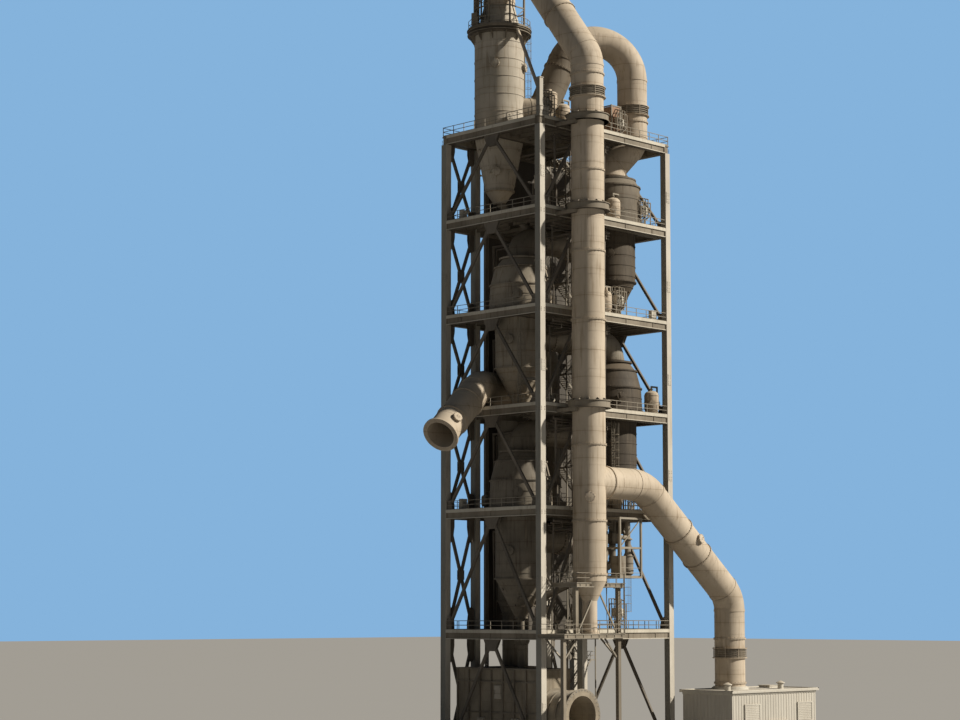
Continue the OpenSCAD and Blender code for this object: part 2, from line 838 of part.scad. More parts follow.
module downcomer() {
    color(duct) placed() translate([top_x, downcomer_y, downcomer_z]) difference() {
        cylinder(h = goose_end_z - downcomer_z, r = downcomer_r);
        translate([0, 0, -eps])
            cylinder(h = goose_end_z - downcomer_z + 2 * eps, r = downcomer_r - duct_t);
    }
}

collar_levels = [level_3, level_5, level_6];
bracket_w = 44;

module downcomer_supports() {
    color(steel) placed() difference() {
        for (z = collar_levels) {
            translate([top_x, downcomer_y, z]) difference() {
                cylinder(h = collar_h, r = collar_r);
                translate([0, 0, -eps]) cylinder(h = collar_h + 2 * eps, r = downcomer_r);
            }
            for (s = [-1, 1]) translate([top_x + s * (collar_r - bracket_w / 2) - bracket_w / 2,
                    downcomer_y - 20, z - beam_h / 2])
                cube([bracket_w, -half_beam - downcomer_y + 20, beam_h / 2]);
        }
        column_cuts();
    }
}

module downcomer_hopper() {
    foot = level_1 + platform_t / 2;
    color(duct) placed() translate([top_x, downcomer_y, 0]) difference() {
        union() {
            translate([0, 0, downcomer_z - 220])
                cylinder(h = 220, r1 = dust_r, r2 = downcomer_r);
            translate([0, 0, foot]) cylinder(h = downcomer_z - 220 - foot, r = dust_r);
            translate([0, 0, foot]) cylinder(h = flange_t, r = dust_r + flange_lip);
        }
        translate([0, 0, foot + flange_t])
            cylinder(h = downcomer_z - foot, r = dust_r - duct_t);
        translate([0, 0, downcomer_z - 220]) cylinder(h = 220 + eps, r1 = dust_r - duct_t,
            r2 = downcomer_r - duct_t);
    }
}

module platform_leg(x, low, high) {
    translate([x - platform_post / 2, post_y - platform_post / 2, low])
        cube([platform_post, platform_post, high - low]);
}

module hopper_platform() {
    color(steel) placed() difference() {
        union() {
            translate([platform_x, platform_y, level_1 - platform_t / 2])
                cube([platform_end - platform_x, -half_beam - platform_y, platform_t]);
            translate([platform_top_x, platform_y, platform_top_z - platform_t])
                cube([platform_end - platform_top_x, -half_col - platform_y, platform_t]);
            for (x = low_post_xs) platform_leg(x, footing_h, level_1);
            for (x = top_post_xs) platform_leg(x, level_1, platform_top_z - platform_t);
        }
        translate([top_x, downcomer_y, platform_top_z - 2 * platform_t])
            cylinder(h = 3 * platform_t, r = downcomer_r + deck_gap);
        column_cuts();
    }
}

module u_duct() {
    color(duct) placed() difference() {
        bent_duct(u_path, u_bends, arch_r);
        at_top() vessel_solid(profile_1);
    }
}

module transfer_duct_32() {
    color(duct) placed() difference() {
        bent_duct(path_32, [transfer_bend], transfer_r);
        at_right() vessel_solid(profile_2);
    }
}

module transfer_duct_43() {
    color(duct) placed() difference() {
        bent_duct(path_43, [transfer_bend], transfer_r);
        at_left() vessel_solid(profile_3);
    }
}

module transfer_duct_54() {
    color(duct) placed() difference() {
        bent_duct(path_54, [transfer_bend], transfer_r);
        at_right() vessel_solid(profile_4);
    }
}

module calciner() {
    color(vessel) placed() at_calciner() vessel_wall(calciner_profile, shell_t);
}

module calciner_loop() {
    color(duct) placed() difference() {
        bent_duct(loop_path, loop_bends, loop_r);
        at_left() vessel_solid(profile_5);
    }
}

// The kiln's inlet chamber, and beside it the chamber under the calciner
chamber_front = 100;
chamber_back = tower_y - footing_w / 2 - deck_gap;
chamber_wall = 2 * shell_t;
chamber_left = kiln_x - chamber_w;
riser_left = kiln_x + chamber_w;
riser_right = calciner_x + calciner_r;
riser_front = calciner_y - calciner_r - chamber_wall;

// The way through from one chamber to the other
module chamber_passage() {
    translate([riser_left - chamber_wall - eps, riser_front + chamber_wall, 2 * chamber_wall])
        cube([2 * chamber_wall + 2 * eps, chamber_back - riser_front - 2 * chamber_wall,
            chamber_h - 4 * chamber_wall]);
}

module hollow_block(x0, y0, x1, y1) {
    difference() {
        translate([x0, y0, 0]) cube([x1 - x0, y1 - y0, chamber_h]);
        translate([x0 + chamber_wall, y0 + chamber_wall, chamber_wall])
            cube([x1 - x0 - 2 * chamber_wall, y1 - y0 - 2 * chamber_wall, chamber_h - 2 * chamber_wall]);
    }
}

module kiln_inlet_chamber() {
    color(concrete) placed() difference() {
        union() {
            hollow_block(chamber_left, chamber_front, riser_left, chamber_back);
            translate([kiln_x, chamber_front + eps, kiln_z]) rotate([90, 0, 0])
                cylinder(h = hood_l + eps, r = hood_r);
        }
        translate([kiln_x, chamber_front, kiln_z]) rotate([90, 0, 0])
            cylinder(h = hood_l + 2 * eps, r = kiln_r);
        translate([kiln_x, chamber_front + chamber_wall + eps, kiln_z]) rotate([90, 0, 0])
            cylinder(h = chamber_wall + 2 * eps, r = kiln_r - chamber_wall);
        chamber_passage();
        at_left() translate([0, 0, chamber_h - chamber_wall - eps])
            cylinder(h = chamber_wall + 2 * eps, r = meal_r - duct_t / 2);
    }
}

module riser_chamber() {
    color(concrete) placed() difference() {
        hollow_block(riser_left, riser_front, riser_right, chamber_back);
        chamber_passage();
        at_calciner() translate([0, 0, chamber_h - chamber_wall - eps])
            cylinder(h = chamber_wall + 2 * eps, r = neck_r - shell_t);
    }
}

module tertiary_air_duct() {
    color(duct) placed() difference() {
        union() {
            bent_duct([air_flange + air_dir * flange_t / 2, air_path[1], air_path[2]], [air_r * 1.67], air_r);
            along(air_flange, air_dir, square_to(air_dir)) linear_extrude(flange_t)
                ring(flange_r, flange_lip + duct_t + joint_gap);
        }
        translate([calciner_x, calciner_y, air_level - flange_r])
            cylinder(h = 2 * flange_r, r = calciner_r);
        along(air_flange, air_dir, square_to(air_dir)) for (k = [0:bolt_count - 1])
            rotate(k * 360 / bolt_count) translate([air_r + flange_lip / 2, 0, -eps])
                cylinder(h = flange_t + 2 * eps, r = bolt_hole_r);
    }
}

// The flange by which a meal pipe hangs from a cone's tip
module tip_flange(p) {
    translate([p.x, p.y, p.z - flange_t * 0.7]) cylinder(h = flange_t * 0.7, r = tip_r + 6);
}

module meal_pipes() {
    color(duct) placed() {
        difference() {
            union() {
                tube_run(meal_1[0], meal_1[1], meal_r);
                tip_flange(meal_1[0]);
            }
            tube_run(path_32[1], path_32[2], transfer_r);
            at_top() vessel_solid(profile_1);
        }
        difference() {
            union() {
                tube_run(meal_2[0], meal_2[1], meal_r);
                tip_flange(meal_2[0]);
            }
            tube_run(path_43[1], path_43[2], transfer_r);
            at_right() vessel_solid(profile_2);
        }
        difference() {
            union() {
                tube_run(meal_3[0], meal_3[1], meal_r);
                tip_flange(meal_3[0]);
            }
            tube_run(path_54[1], path_54[2], transfer_r);
            at_left() vessel_solid(profile_3);
        }
        difference() {
            union() {
                bent(meal_4, [meal_r * 2.5], meal_r);
                tip_flange(meal_4[0]);
            }
            at_calciner() vessel_solid(calciner_profile);
        }
        tube_run(meal_5[0], meal_5[1], meal_r);
        tip_flange(meal_5[0]);
    }
}

module feed_pipe() {
    post_top = column_top + beam_h + deck_t + mast_h;
    head = [top_x - 35, top_y - top_r - ring_reach / 2, ring_z - 20];
    color(steel_light) placed() {
        difference() {
            union() {
                translate([-mast_w / 2, -mast_w / 2, deck_z(6)])
                    cube([mast_w, mast_w, post_top - deck_z(6)]);
                tube_run([0, 0, post_top - mast_w], head, feed_r);
            }
            at_top() translate([0, 0, ring_z - 50])
                cylinder(h = 60, r1 = top_r + 10, r2 = top_r + ring_reach);
        }
    }
}

module exhaust_duct() {
    color(duct) placed() difference() {
        union() {
            bent_duct(exhaust_path, exhaust_bends, exhaust_r);
            translate([exhaust_leg_x, downcomer_y, fan_h + roof_t])
                linear_extrude(flange_t) ring(exhaust_r + flange_lip, flange_lip + duct_t + joint_gap);
        }
        translate([top_x, downcomer_y, downcomer_z])
            cylinder(h = goose_end_z - downcomer_z, r = downcomer_r);
    }
}

// Fan house, a closed machine housing

module fan_house() {
    color(cladding) placed() translate([fan_x, fan_y, 0]) cube([fan_l, fan_d, fan_h]);
}

module fan_house_roof() {
    color(cladding) placed() translate([fan_x - roof_lip, fan_y - roof_lip, fan_h])
        cube([fan_l + 2 * roof_lip, fan_d + 2 * roof_lip, roof_t]);
}

footings();
columns();
floor_1();
floor_2();
floor_3();
floor_4();
floor_5();
floor_6();
bracing_front();
bracing_back();
bracing_left();
bracing_right();
railings_front();
railings_back();
railings_left();
railings_right();
back_sheeting();
cyclone_1_body();
cyclone_1_roof();
cyclone_2_body();
cyclone_2_roof();
cyclone_3_body();
cyclone_3_roof();
cyclone_4_body();
cyclone_4_roof();
cyclone_5_body();
cyclone_5_roof();
top_ring_platform();
gooseneck();
downcomer();
downcomer_supports();
downcomer_hopper();
hopper_platform();
u_duct();
transfer_duct_32();
transfer_duct_43();
transfer_duct_54();
calciner();
calciner_loop();
kiln_inlet_chamber();
riser_chamber();
tertiary_air_duct();
meal_pipes();
feed_pipe();
exhaust_duct();
fan_house();
fan_house_roof();
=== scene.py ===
"""Looks of the preheater tower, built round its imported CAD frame.

Every length is in metres of the 1:10 model. A place "on the tower" is counted from the centre of the
first front column, along the long side (X), the short side (Y) and up from the ground (Z).
"""

import json
import logging
import math
from dataclasses import dataclass
from enum import Enum
from typing import Any, Iterable, Optional, Sequence, Union

import bmesh
import bpy
from mathutils import Matrix, Vector

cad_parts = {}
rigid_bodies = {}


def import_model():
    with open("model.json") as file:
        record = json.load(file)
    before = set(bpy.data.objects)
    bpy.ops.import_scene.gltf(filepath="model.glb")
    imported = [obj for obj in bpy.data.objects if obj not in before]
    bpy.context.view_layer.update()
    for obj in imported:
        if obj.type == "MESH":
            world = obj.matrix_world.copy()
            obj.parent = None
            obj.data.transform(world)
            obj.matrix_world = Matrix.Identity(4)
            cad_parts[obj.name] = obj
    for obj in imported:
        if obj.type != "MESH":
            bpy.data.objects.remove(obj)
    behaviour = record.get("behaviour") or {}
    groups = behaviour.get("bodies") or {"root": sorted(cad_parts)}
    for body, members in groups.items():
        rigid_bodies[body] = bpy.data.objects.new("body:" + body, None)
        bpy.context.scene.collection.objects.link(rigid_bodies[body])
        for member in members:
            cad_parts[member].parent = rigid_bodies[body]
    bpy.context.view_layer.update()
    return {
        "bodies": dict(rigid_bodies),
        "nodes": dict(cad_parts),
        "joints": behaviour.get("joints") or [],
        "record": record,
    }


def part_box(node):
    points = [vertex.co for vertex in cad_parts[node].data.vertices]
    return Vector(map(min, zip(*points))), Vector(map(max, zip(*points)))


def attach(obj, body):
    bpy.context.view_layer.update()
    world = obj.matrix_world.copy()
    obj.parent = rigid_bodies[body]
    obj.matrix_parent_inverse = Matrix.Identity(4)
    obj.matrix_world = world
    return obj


LOG = logging.getLogger("tower")
Colour = tuple[float, float, float]
Point = tuple[float, float, float]
MM = 0.001


# Shader sheets


class Signal:
    """One output of a material's node tree, which takes part in Python arithmetic."""

    def __init__(self, sheet: "Sheet", socket: bpy.types.NodeSocket) -> None:
        """Wraps a socket.

        Args:
            sheet: the node tree that the socket belongs to.
            socket: the output socket.
        """
        self.sheet = sheet
        self.socket = socket

    def _math(self, operation: str, *others: "Value") -> "Signal":
        """Adds one Math node that starts from this value.

        Args:
            operation: the Math node's operation.
            others: the further inputs.

        Returns:
            The node's result.
        """
        inputs = {0: self}
        inputs.update({i + 1: other for i, other in enumerate(others)})
        return self.sheet.node("ShaderNodeMath", {"operation": operation}, inputs)

    def _math_from(self, operation: str, first: "Value") -> "Signal":
        """Adds one Math node that ends with this value, for reflected operators."""
        return self.sheet.node("ShaderNodeMath", {"operation": operation}, {0: first, 1: self})

    def __add__(self, other: "Value") -> "Signal":
        """Sum."""
        return self._math("ADD", other)

    def __radd__(self, other: "Value") -> "Signal":
        """Reflected sum."""
        return self._math_from("ADD", other)

    def __sub__(self, other: "Value") -> "Signal":
        """Difference."""
        return self._math("SUBTRACT", other)

    def __rsub__(self, other: "Value") -> "Signal":
        """Reflected difference."""
        return self._math_from("SUBTRACT", other)

    def __mul__(self, other: "Value") -> "Signal":
        """Product."""
        return self._math("MULTIPLY", other)

    def __rmul__(self, other: "Value") -> "Signal":
        """Reflected product."""
        return self._math_from("MULTIPLY", other)

    def fract(self) -> "Signal":
        """The part after the point."""
        return self._math("FRACT")

    def absolute(self) -> "Signal":
        """The size without its sign."""
        return self._math("ABSOLUTE")

    def lowest(self, other: "Value") -> "Signal":
        """The smaller of two values."""
        return self._math("MINIMUM", other)

    def rise(self, low: float, high: float) -> "Signal":
        """A smooth step from 0 at low to 1 at high.

        Args:
            low: where the step starts.
            high: where it ends, which may be below low.

        Returns:
            The stepped value.
        """
        return self.sheet.node(
            "ShaderNodeMapRange", {"interpolation_type": "SMOOTHSTEP"},
            {"Value": self, "From Min": low, "From Max": high, "To Min": 0.0, "To Max": 1.0})


Value = Union[Signal, float, int, Sequence[float]]


class Sheet:
    """The node tree of one material."""

    def __init__(self, name: str) -> None:
        """Makes an empty material.

        Args:
            name: the material's name.
        """
        self.material = bpy.data.materials.new(name)
        self.material.use_nodes = True
        self.tree = self.material.node_tree
        self.tree.nodes.clear()

    def node(self, kind: str, settings: Optional[dict[str, Any]] = None,
             inputs: Optional[dict[Union[str, int], Value]] = None,
             output: Union[str, int] = 0) -> Signal:
        """Adds a node.

        Args:
            kind: the node's type.
            settings: its properties.
            inputs: a value or a signal for each named or numbered socket.
            output: the socket that is returned.

        Returns:
            The chosen output.
        """
        made = self.tree.nodes.new(kind)
        for key, value in (settings or {}).items():
            setattr(made, key, value)
        for key, value in (inputs or {}).items():
            socket = made.inputs[key]
            if isinstance(value, Signal):
                self.tree.links.new(value.socket, socket)
            elif isinstance(value, (tuple, list)) and len(value) == 3 and socket.type == "RGBA":
                socket.default_value = (*value, 1.0)
            else:
                socket.default_value = value
        return Signal(self, made.outputs[output])

    def blend(self, share: Value, first: Value, second: Value) -> Signal:
        """Mixes two colours.

        Args:
            share: how much of the second shows.
            first: the colour at 0.
            second: the colour at 1.

        Returns:
            The mixed colour.
        """
        return self.node("ShaderNodeMix", {"data_type": "RGBA", "clamp_factor": True},
                         {0: share, 6: first, 7: second}, 2)

    def tint(self, share: Value, first: Value, second: Value) -> Signal:
        """Multiplies two colours by a share."""
        return self.node("ShaderNodeMix", {"data_type": "RGBA", "blend_type": "MULTIPLY"},
                         {0: share, 6: first, 7: second}, 2)

    def place(self, scale: Point = (1.0, 1.0, 1.0), turn: Point = (0.0, 0.0, 0.0)) -> Signal:
        """Object coordinates in metres, stretched and turned.

        Args:
            scale: the stretch along each axis.
            turn: the turn about each axis, in radians.

        Returns:
            The coordinates.
        """
        spot = self.node("ShaderNodeTexCoord", output="Object")
        return self.node("ShaderNodeMapping", {}, {"Vector": spot, "Scale": scale, "Rotation": turn})

    def noise(self, size: float, stretch: Point = (1.0, 1.0, 1.0), detail: float = 5.0,
              rough: float = 0.55) -> Signal:
        """Cloudy noise whose features are about size metres across.

        Args:
            size: the width of a feature.
            stretch: how much longer a feature is along each axis.
            detail: the number of octaves.
            rough: the strength of the fine octaves.

        Returns:
            A value from 0 to 1.
        """
        scale = tuple(1.0 / (size * s) for s in stretch)
        return self.node("ShaderNodeTexNoise", {},
                         {"Vector": self.place(scale), "Scale": 1.0, "Detail": detail, "Roughness": rough})

    def axis(self, name: str) -> Signal:
        """One object coordinate, in metres."""
        spot = self.node("ShaderNodeTexCoord", output="Object")
        return self.node("ShaderNodeSeparateXYZ", {}, {0: spot}, name)

    def facing(self, name: str) -> Signal:
        """One component of the surface's direction."""
        way = self.node("ShaderNodeNewGeometry", output="Normal")
        return self.node("ShaderNodeSeparateXYZ", {}, {0: way}, name)

    def finish(self, colour: Value, roughness: Value, metallic: float = 0.0,
               height: Optional[Signal] = None, depth: float = 1.0, specular: float = 0.4) -> bpy.types.Material:
        """Ends the tree in a Principled shader.

        Args:
            colour: the base colour.
            roughness: the roughness.
            metallic: the share of bare metal.
            height: a height in millimetres for the bump.
            depth: the bump's strength.
            specular: the specular level.

        Returns:
            The material.
        """
        inputs: dict[Union[str, int], Value] = {
            "Base Color": colour, "Roughness": roughness, "Metallic": metallic,
            "Specular IOR Level": specular}
        if height is not None:
            inputs["Normal"] = self.node("ShaderNodeBump", {}, {
                "Strength": depth, "Distance": MM, "Height": height})
        shader = self.node("ShaderNodeBsdfPrincipled", {}, inputs)
        end = self.tree.nodes.new("ShaderNodeOutputMaterial")
        self.tree.links.new(shader.socket, end.inputs["Surface"])
        return self.material


# Finishes


STREAK_TINT: Colour = (0.56, 0.50, 0.43)
UNDERSIDE_SHADE_TINT: Colour = (0.20, 0.18, 0.16)
SHADE_SIDE_TINT: Colour = (0.30, 0.33, 0.34)
SHADE_BEYOND_TINT: Colour = (0.36, 0.355, 0.34)
SEAM_TINT: Colour = (0.50, 0.44, 0.37)
GRIME_TINT: Colour = (0.62, 0.56, 0.48)
ROUGHEST = 0.96


@dataclass(frozen=True)
class WeatheredPaint:
    """Paint on steel plate, with dust on top, streaks down the sides, seams and a little rust, and painted shade: on
    downward faces, on faces towards -X and beyond a set plane.
    """

    name: str
    paint: Colour
    shade: Colour
    dust: Colour = (0.50, 0.43, 0.335)
    rust: Colour = (0.17, 0.065, 0.025)
    rust_share: float = 0.3
    streak: float = 0.5
    plate: float = 0.0
    roughness: float = 0.72
    grain: float = 0.25
    # The next three fields paint shade into the colour: on downward faces, on faces towards -X, and beyond a plane
    # given as axis, place and direction.
    underside_shade: float = 0.6
    shade_side: float = 0.0
    shade_beyond: tuple[str, float, float] | None = None

    def material(self) -> bpy.types.Material:
        """Builds the finish.

        Returns:
            The material.
        """
        sheet = Sheet(self.name)
        cloud = sheet.noise(0.42, (1.0, 1.0, 1.6))
        mottle = sheet.noise(0.07, (1.0, 1.0, 1.3), 6.0, 0.62)
        runs = sheet.noise(0.030, (1.0, 1.0, 16.0), 4.0, 0.6)
        fine = sheet.noise(0.006, (1.0, 1.0, 1.0), 3.0)
        colour = sheet.blend(cloud.rise(0.35, 0.68), self.paint, self.shade)
        colour = sheet.blend(mottle.rise(0.45, 0.75) * 0.35, colour, self.shade)
        side = 1.0 - sheet.facing("Z").absolute()
        streaks = runs.rise(0.50, 0.72) * side * self.streak
        colour = sheet.tint(streaks, colour, STREAK_TINT)
        pale = sheet.noise(0.022, (1.0, 1.0, 20.0), 3.0).rise(0.58, 0.80) * side * (0.6 * self.streak)
        colour = sheet.blend(pale, colour, self.dust)
        up = sheet.facing("Z")
        # painted shade: downward faces are darkened towards a near-black tint
        colour = sheet.tint((up * -1.0).rise(0.35, 0.95) * self.underside_shade, colour, UNDERSIDE_SHADE_TINT)
        # painted shade: faces towards -X, the side away from the key light, are darkened
        if self.shade_side > 0.0:
            shade_side_mask = (sheet.facing("X") * -1.0).rise(0.55, 0.95)
            colour = sheet.tint(shade_side_mask * self.shade_side, colour, SHADE_SIDE_TINT)
        # painted shade: the colour is darkened past a plane across one axis, with a mottled edge
        if self.shade_beyond is not None:
            axis, line, way = self.shade_beyond
            depth = (sheet.axis(axis) - line) * way + (mottle - 0.5) * 0.12
            colour = sheet.tint(depth.rise(-0.05, 0.09), colour, SHADE_BEYOND_TINT)
        top = up.rise(0.30, 0.95)
        colour = sheet.blend(top * (0.45 + 0.45 * mottle), colour, self.dust)
        spots = sheet.noise(0.034, (1.0, 1.0, 1.5), 7.0, 0.68).rise(0.64, 0.74)
        patch = sheet.noise(0.31, (1.0, 1.0, 1.0), 2.0).rise(0.46, 0.66)
        rusty = spots * patch * self.rust_share
        seam_height: Value = 0.0
        if self.plate > 0.0:
            height = sheet.axis("Z")
            wobble = (sheet.noise(0.5, (1.0, 1.0, 1.0), 1.0) - 0.5) * 0.02
            place = ((height + wobble) * (1.0 / self.plate)).fract() - 0.5
            edge = place.absolute().rise(0.5 - 0.012 / self.plate * 0.5, 0.5)
            grime = place.absolute().rise(0.30, 0.5) * runs.rise(0.30, 0.70)
            colour = sheet.tint(edge * 0.55, colour, SEAM_TINT)
            colour = sheet.tint(grime * 0.30, colour, GRIME_TINT)
            rusty = rusty + edge * patch * (0.35 * self.rust_share)
            seam_height = edge * 0.9
        colour = sheet.blend(rusty, colour, self.rust)
        rough = (self.roughness + 0.14 * top + 0.10 * mottle - 0.05 + 0.12 * rusty).lowest(ROUGHEST)
        height_mm = fine * self.grain + mottle * 0.35 + seam_height - spots * patch * 0.3
        return sheet.finish(colour, rough, 0.0, height_mm, 0.55)


@dataclass(frozen=True)
class CastConcrete:
    """Grey-brown concrete with form lines, pores and dust."""

    name: str
    colour: Colour
    lift: float = 0.24

    def material(self) -> bpy.types.Material:
        """Builds the finish.

        Returns:
            The material.
        """
        sheet = Sheet(self.name)
        cloud = sheet.noise(0.30, (1.0, 1.0, 1.4), 6.0, 0.6)
        pores = sheet.noise(0.007, (1.0, 1.0, 1.0), 4.0)
        runs = sheet.noise(0.04, (1.0, 1.0, 12.0), 4.0).rise(0.48, 0.74)
        dark = tuple(c * 0.62 for c in self.colour)
        colour = sheet.blend(cloud.rise(0.32, 0.70), self.colour, dark)
        side = 1.0 - sheet.facing("Z").absolute()
        colour = sheet.tint(runs * side * 0.55, colour, (0.60, 0.55, 0.48))
        line = ((sheet.axis("Z") * (1.0 / self.lift)).fract() - 0.5).absolute().rise(0.482, 0.5)
        colour = sheet.tint(line * 0.5, colour, (0.5, 0.47, 0.42))
        top = sheet.facing("Z").rise(0.4, 0.95)
        colour = sheet.blend(top * 0.6, colour, (0.50, 0.45, 0.37))
        return sheet.finish(colour, 0.86 + 0.08 * cloud, 0.0, pores * 0.5 + cloud * 0.6 - line * 1.2, 0.6)


@dataclass(frozen=True)
class SheetCladding:
    """Pale wall sheet with dust washed down it."""

    name: str
    colour: Colour

    def material(self) -> bpy.types.Material:
        """Builds the finish.

        Returns:
            The material.
        """
        sheet = Sheet(self.name)
        cloud = sheet.noise(0.36, (1.0, 1.0, 1.5), 5.0)
        runs = sheet.noise(0.020, (1.0, 1.0, 22.0), 4.0).rise(0.46, 0.76)
        low = sheet.axis("Z").rise(0.32, 0.0)
        side = 1.0 - sheet.facing("Z").absolute()
        colour = sheet.blend(cloud.rise(0.35, 0.70) * 0.6, self.colour, tuple(c * 0.80 for c in self.colour))
        colour = sheet.tint(runs * side * 0.45, colour, (0.74, 0.68, 0.60))
        colour = sheet.blend(low * 0.45, colour, (0.42, 0.36, 0.28))
        top = sheet.facing("Z").rise(0.4, 0.95)
        colour = sheet.blend(top * 0.5, colour, (0.52, 0.47, 0.39))
        return sheet.finish(colour, 0.58 + 0.2 * cloud, 0.0, cloud * 0.3, 0.4)


@dataclass(frozen=True)
class BareMetal:
    """Galvanised or machined steel, dulled by dust."""

    name: str
    colour: Colour = (0.42, 0.41, 0.39)
    metallic: float = 0.75
    roughness: float = 0.48

    def material(self) -> bpy.types.Material:
        """Builds the finish.

        Returns:
            The material.
        """
        sheet = Sheet(self.name)
        spangle = sheet.noise(0.010, (1.0, 1.0, 1.0), 4.0)
        dusty = sheet.noise(0.06, (1.0, 1.0, 2.0), 5.0).rise(0.45, 0.70)
        colour = sheet.blend(spangle, self.colour, tuple(c * 0.78 for c in self.colour))
        colour = sheet.blend(dusty * 0.6, colour, (0.40, 0.34, 0.26))
        return sheet.finish(colour, self.roughness + 0.3 * dusty, self.metallic, spangle * 0.15, 0.4)


@dataclass(frozen=True)
class PlainPaper:
    """The pale studio floor."""

    name: str
    colour: Colour

    def material(self) -> bpy.types.Material:
        """Builds the finish.

        Returns:
            The material.
        """
        sheet = Sheet(self.name)
        cloud = sheet.noise(3.0, (1.0, 1.0, 1.0), 3.0)
        colour = sheet.blend(cloud * 0.25, self.colour, tuple(c * 0.94 for c in self.colour))
        return sheet.finish(colour, 0.9, 0.0, None, 0.0, 0.2)


class Finish(Enum):
    """The finishes of this tower."""

    # painted shade: the columns' faces towards -X are darkened
    COLUMN = WeatheredPaint("column_paint", (0.57, 0.53, 0.46), (0.45, 0.415, 0.355), rust_share=0.2,
                            streak=0.3, shade_side=0.70)
    EDGE = WeatheredPaint("edge_paint", (0.59, 0.55, 0.465), (0.47, 0.435, 0.36), rust_share=0.3, streak=0.4)
    # painted shade: a dark copy of the edge paint, so girder webs, joists, undersides and inner steel read as shaded
    FRAME = WeatheredPaint("frame_paint", (0.26, 0.225, 0.175), (0.17, 0.145, 0.11), dust=(0.42, 0.37, 0.29),
                           rust_share=0.45, streak=0.5, underside_shade=0.9)
    # painted shade: the braces are painted dark to stand for their shade
    BRACE = WeatheredPaint("brace_paint", (0.185, 0.16, 0.13), (0.12, 0.105, 0.084), dust=(0.22, 0.19, 0.15),
                           rust_share=0.5, streak=0.4)
    RAIL = WeatheredPaint("rail_paint", (0.30, 0.27, 0.22), (0.22, 0.195, 0.155), rust_share=0.35, streak=0.2)
    VESSEL = WeatheredPaint("vessel_paint", (0.50, 0.45, 0.375), (0.38, 0.34, 0.275), rust_share=0.4,
                            streak=0.8, plate=0.24)
    # painted shade: this and the next two are darker copies of the vessel paint, for vessels that stand in shade
    # inside the frame, darkest in the right bay
    DUSTED = WeatheredPaint("dusted_vessel_paint", (0.34, 0.295, 0.23), (0.22, 0.19, 0.145),
                            dust=(0.42, 0.36, 0.28), rust_share=0.5, streak=0.9, plate=0.24, underside_shade=0.8)
    SMOKED = WeatheredPaint("smoked_vessel_paint", (0.165, 0.138, 0.103), (0.095, 0.080, 0.060),
                            dust=(0.25, 0.215, 0.165), rust_share=0.6, streak=0.9, plate=0.24, underside_shade=0.9)
    SOOTED = WeatheredPaint("sooted_vessel_paint", (0.094, 0.074, 0.051), (0.054, 0.043, 0.031),
                            dust=(0.20, 0.155, 0.105), rust_share=0.5, streak=0.8, plate=0.24, underside_shade=0.9)
    # painted shade: the arch duct is darkened where X is below -0.24, along its left leg
    ARCH = WeatheredPaint("arch_duct_paint", (0.54, 0.46, 0.36), (0.43, 0.36, 0.275), rust_share=0.25,
                          streak=0.7, plate=0.30, underside_shade=0.5, shade_beyond=("X", -0.24, -1.0))
    # painted shade: the tertiary air duct is darkened where X is past -1.46, inside the frame
    SHELTERED = WeatheredPaint("sheltered_duct_paint", (0.54, 0.46, 0.36), (0.43, 0.36, 0.275), rust_share=0.25,
                               streak=0.6, plate=0.30, underside_shade=0.6, shade_beyond=("X", -1.46, 1.0))
    # painted shade: a darker copy of the vessel paint, for the vessels, ducts and valves inside the frame
    INNER = WeatheredPaint("inner_vessel_paint", (0.25, 0.22, 0.175), (0.155, 0.135, 0.105),
                           dust=(0.34, 0.29, 0.22), rust_share=0.5, streak=0.9, plate=0.24, underside_shade=0.8)
    DUCT = WeatheredPaint("duct_paint", (0.54, 0.46, 0.36), (0.43, 0.36, 0.275), rust_share=0.25,
                          streak=0.6, plate=0.30, underside_shade=0.4)
    DECK = WeatheredPaint("deck_plate", (0.18, 0.155, 0.125), (0.12, 0.103, 0.082), rust_share=0.4, streak=0.2,
                          underside_shade=0.9)
    CONCRETE = CastConcrete("footing_concrete", (0.40, 0.37, 0.31))
    CHAMBER = CastConcrete("chamber_concrete", (0.34, 0.29, 0.22), 0.125)
    CLADDING = SheetCladding("cladding", (0.52, 0.49, 0.43))
    # painted shade: the back sheeting's near-black paint stands for the shaded interior behind the frame
    SHEETING = WeatheredPaint("sheeting_paint", (0.095, 0.083, 0.068), (0.062, 0.054, 0.044), dust=(0.16, 0.14, 0.11),
                              rust_share=0.3, streak=0.6)
    CABINET = WeatheredPaint("cabinet_paint", (0.60, 0.57, 0.50), (0.50, 0.47, 0.41), rust_share=0.15,
                             streak=0.4)
    RUSTED = WeatheredPaint("rusted_sheet", (0.34, 0.215, 0.14), (0.22, 0.12, 0.07), rust_share=0.9, streak=0.7)
    BOLT = BareMetal("bolt_steel")
    # painted shade: the dark fill behind the fan house's louvres
    DARK = WeatheredPaint("dark_opening", (0.045, 0.04, 0.034), (0.03, 0.027, 0.023), rust_share=0.0,
                          streak=0.1)
    PAPER = PlainPaper("studio_floor", (0.38, 0.375, 0.365))


class Palette:
    """Hands out each finish, built once."""

    def __init__(self) -> None:
        """Starts with nothing built."""
        self._made: dict[Finish, bpy.types.Material] = {}

    def __getitem__(self, finish: Finish) -> bpy.types.Material:
        """The material of a finish.

        Args:
            finish: the finish to hand out.

        Returns:
            Its material.
        """
        if finish not in self._made:
            self._made[finish] = finish.value.material()
        return self._made[finish]


class Slot(str, Enum):
    """The record's material slots."""

    CHAMBER = "chamber_concrete"
    COLUMN = "column_paint"
    FRAME = "frame_paint"
    RAIL = "rail_paint"
    VESSEL = "vessel_paint"
    DUCT = "duct_paint"
    CLADDING = "cladding"
    SHEETING = "sheeting_paint"


# Mesh work


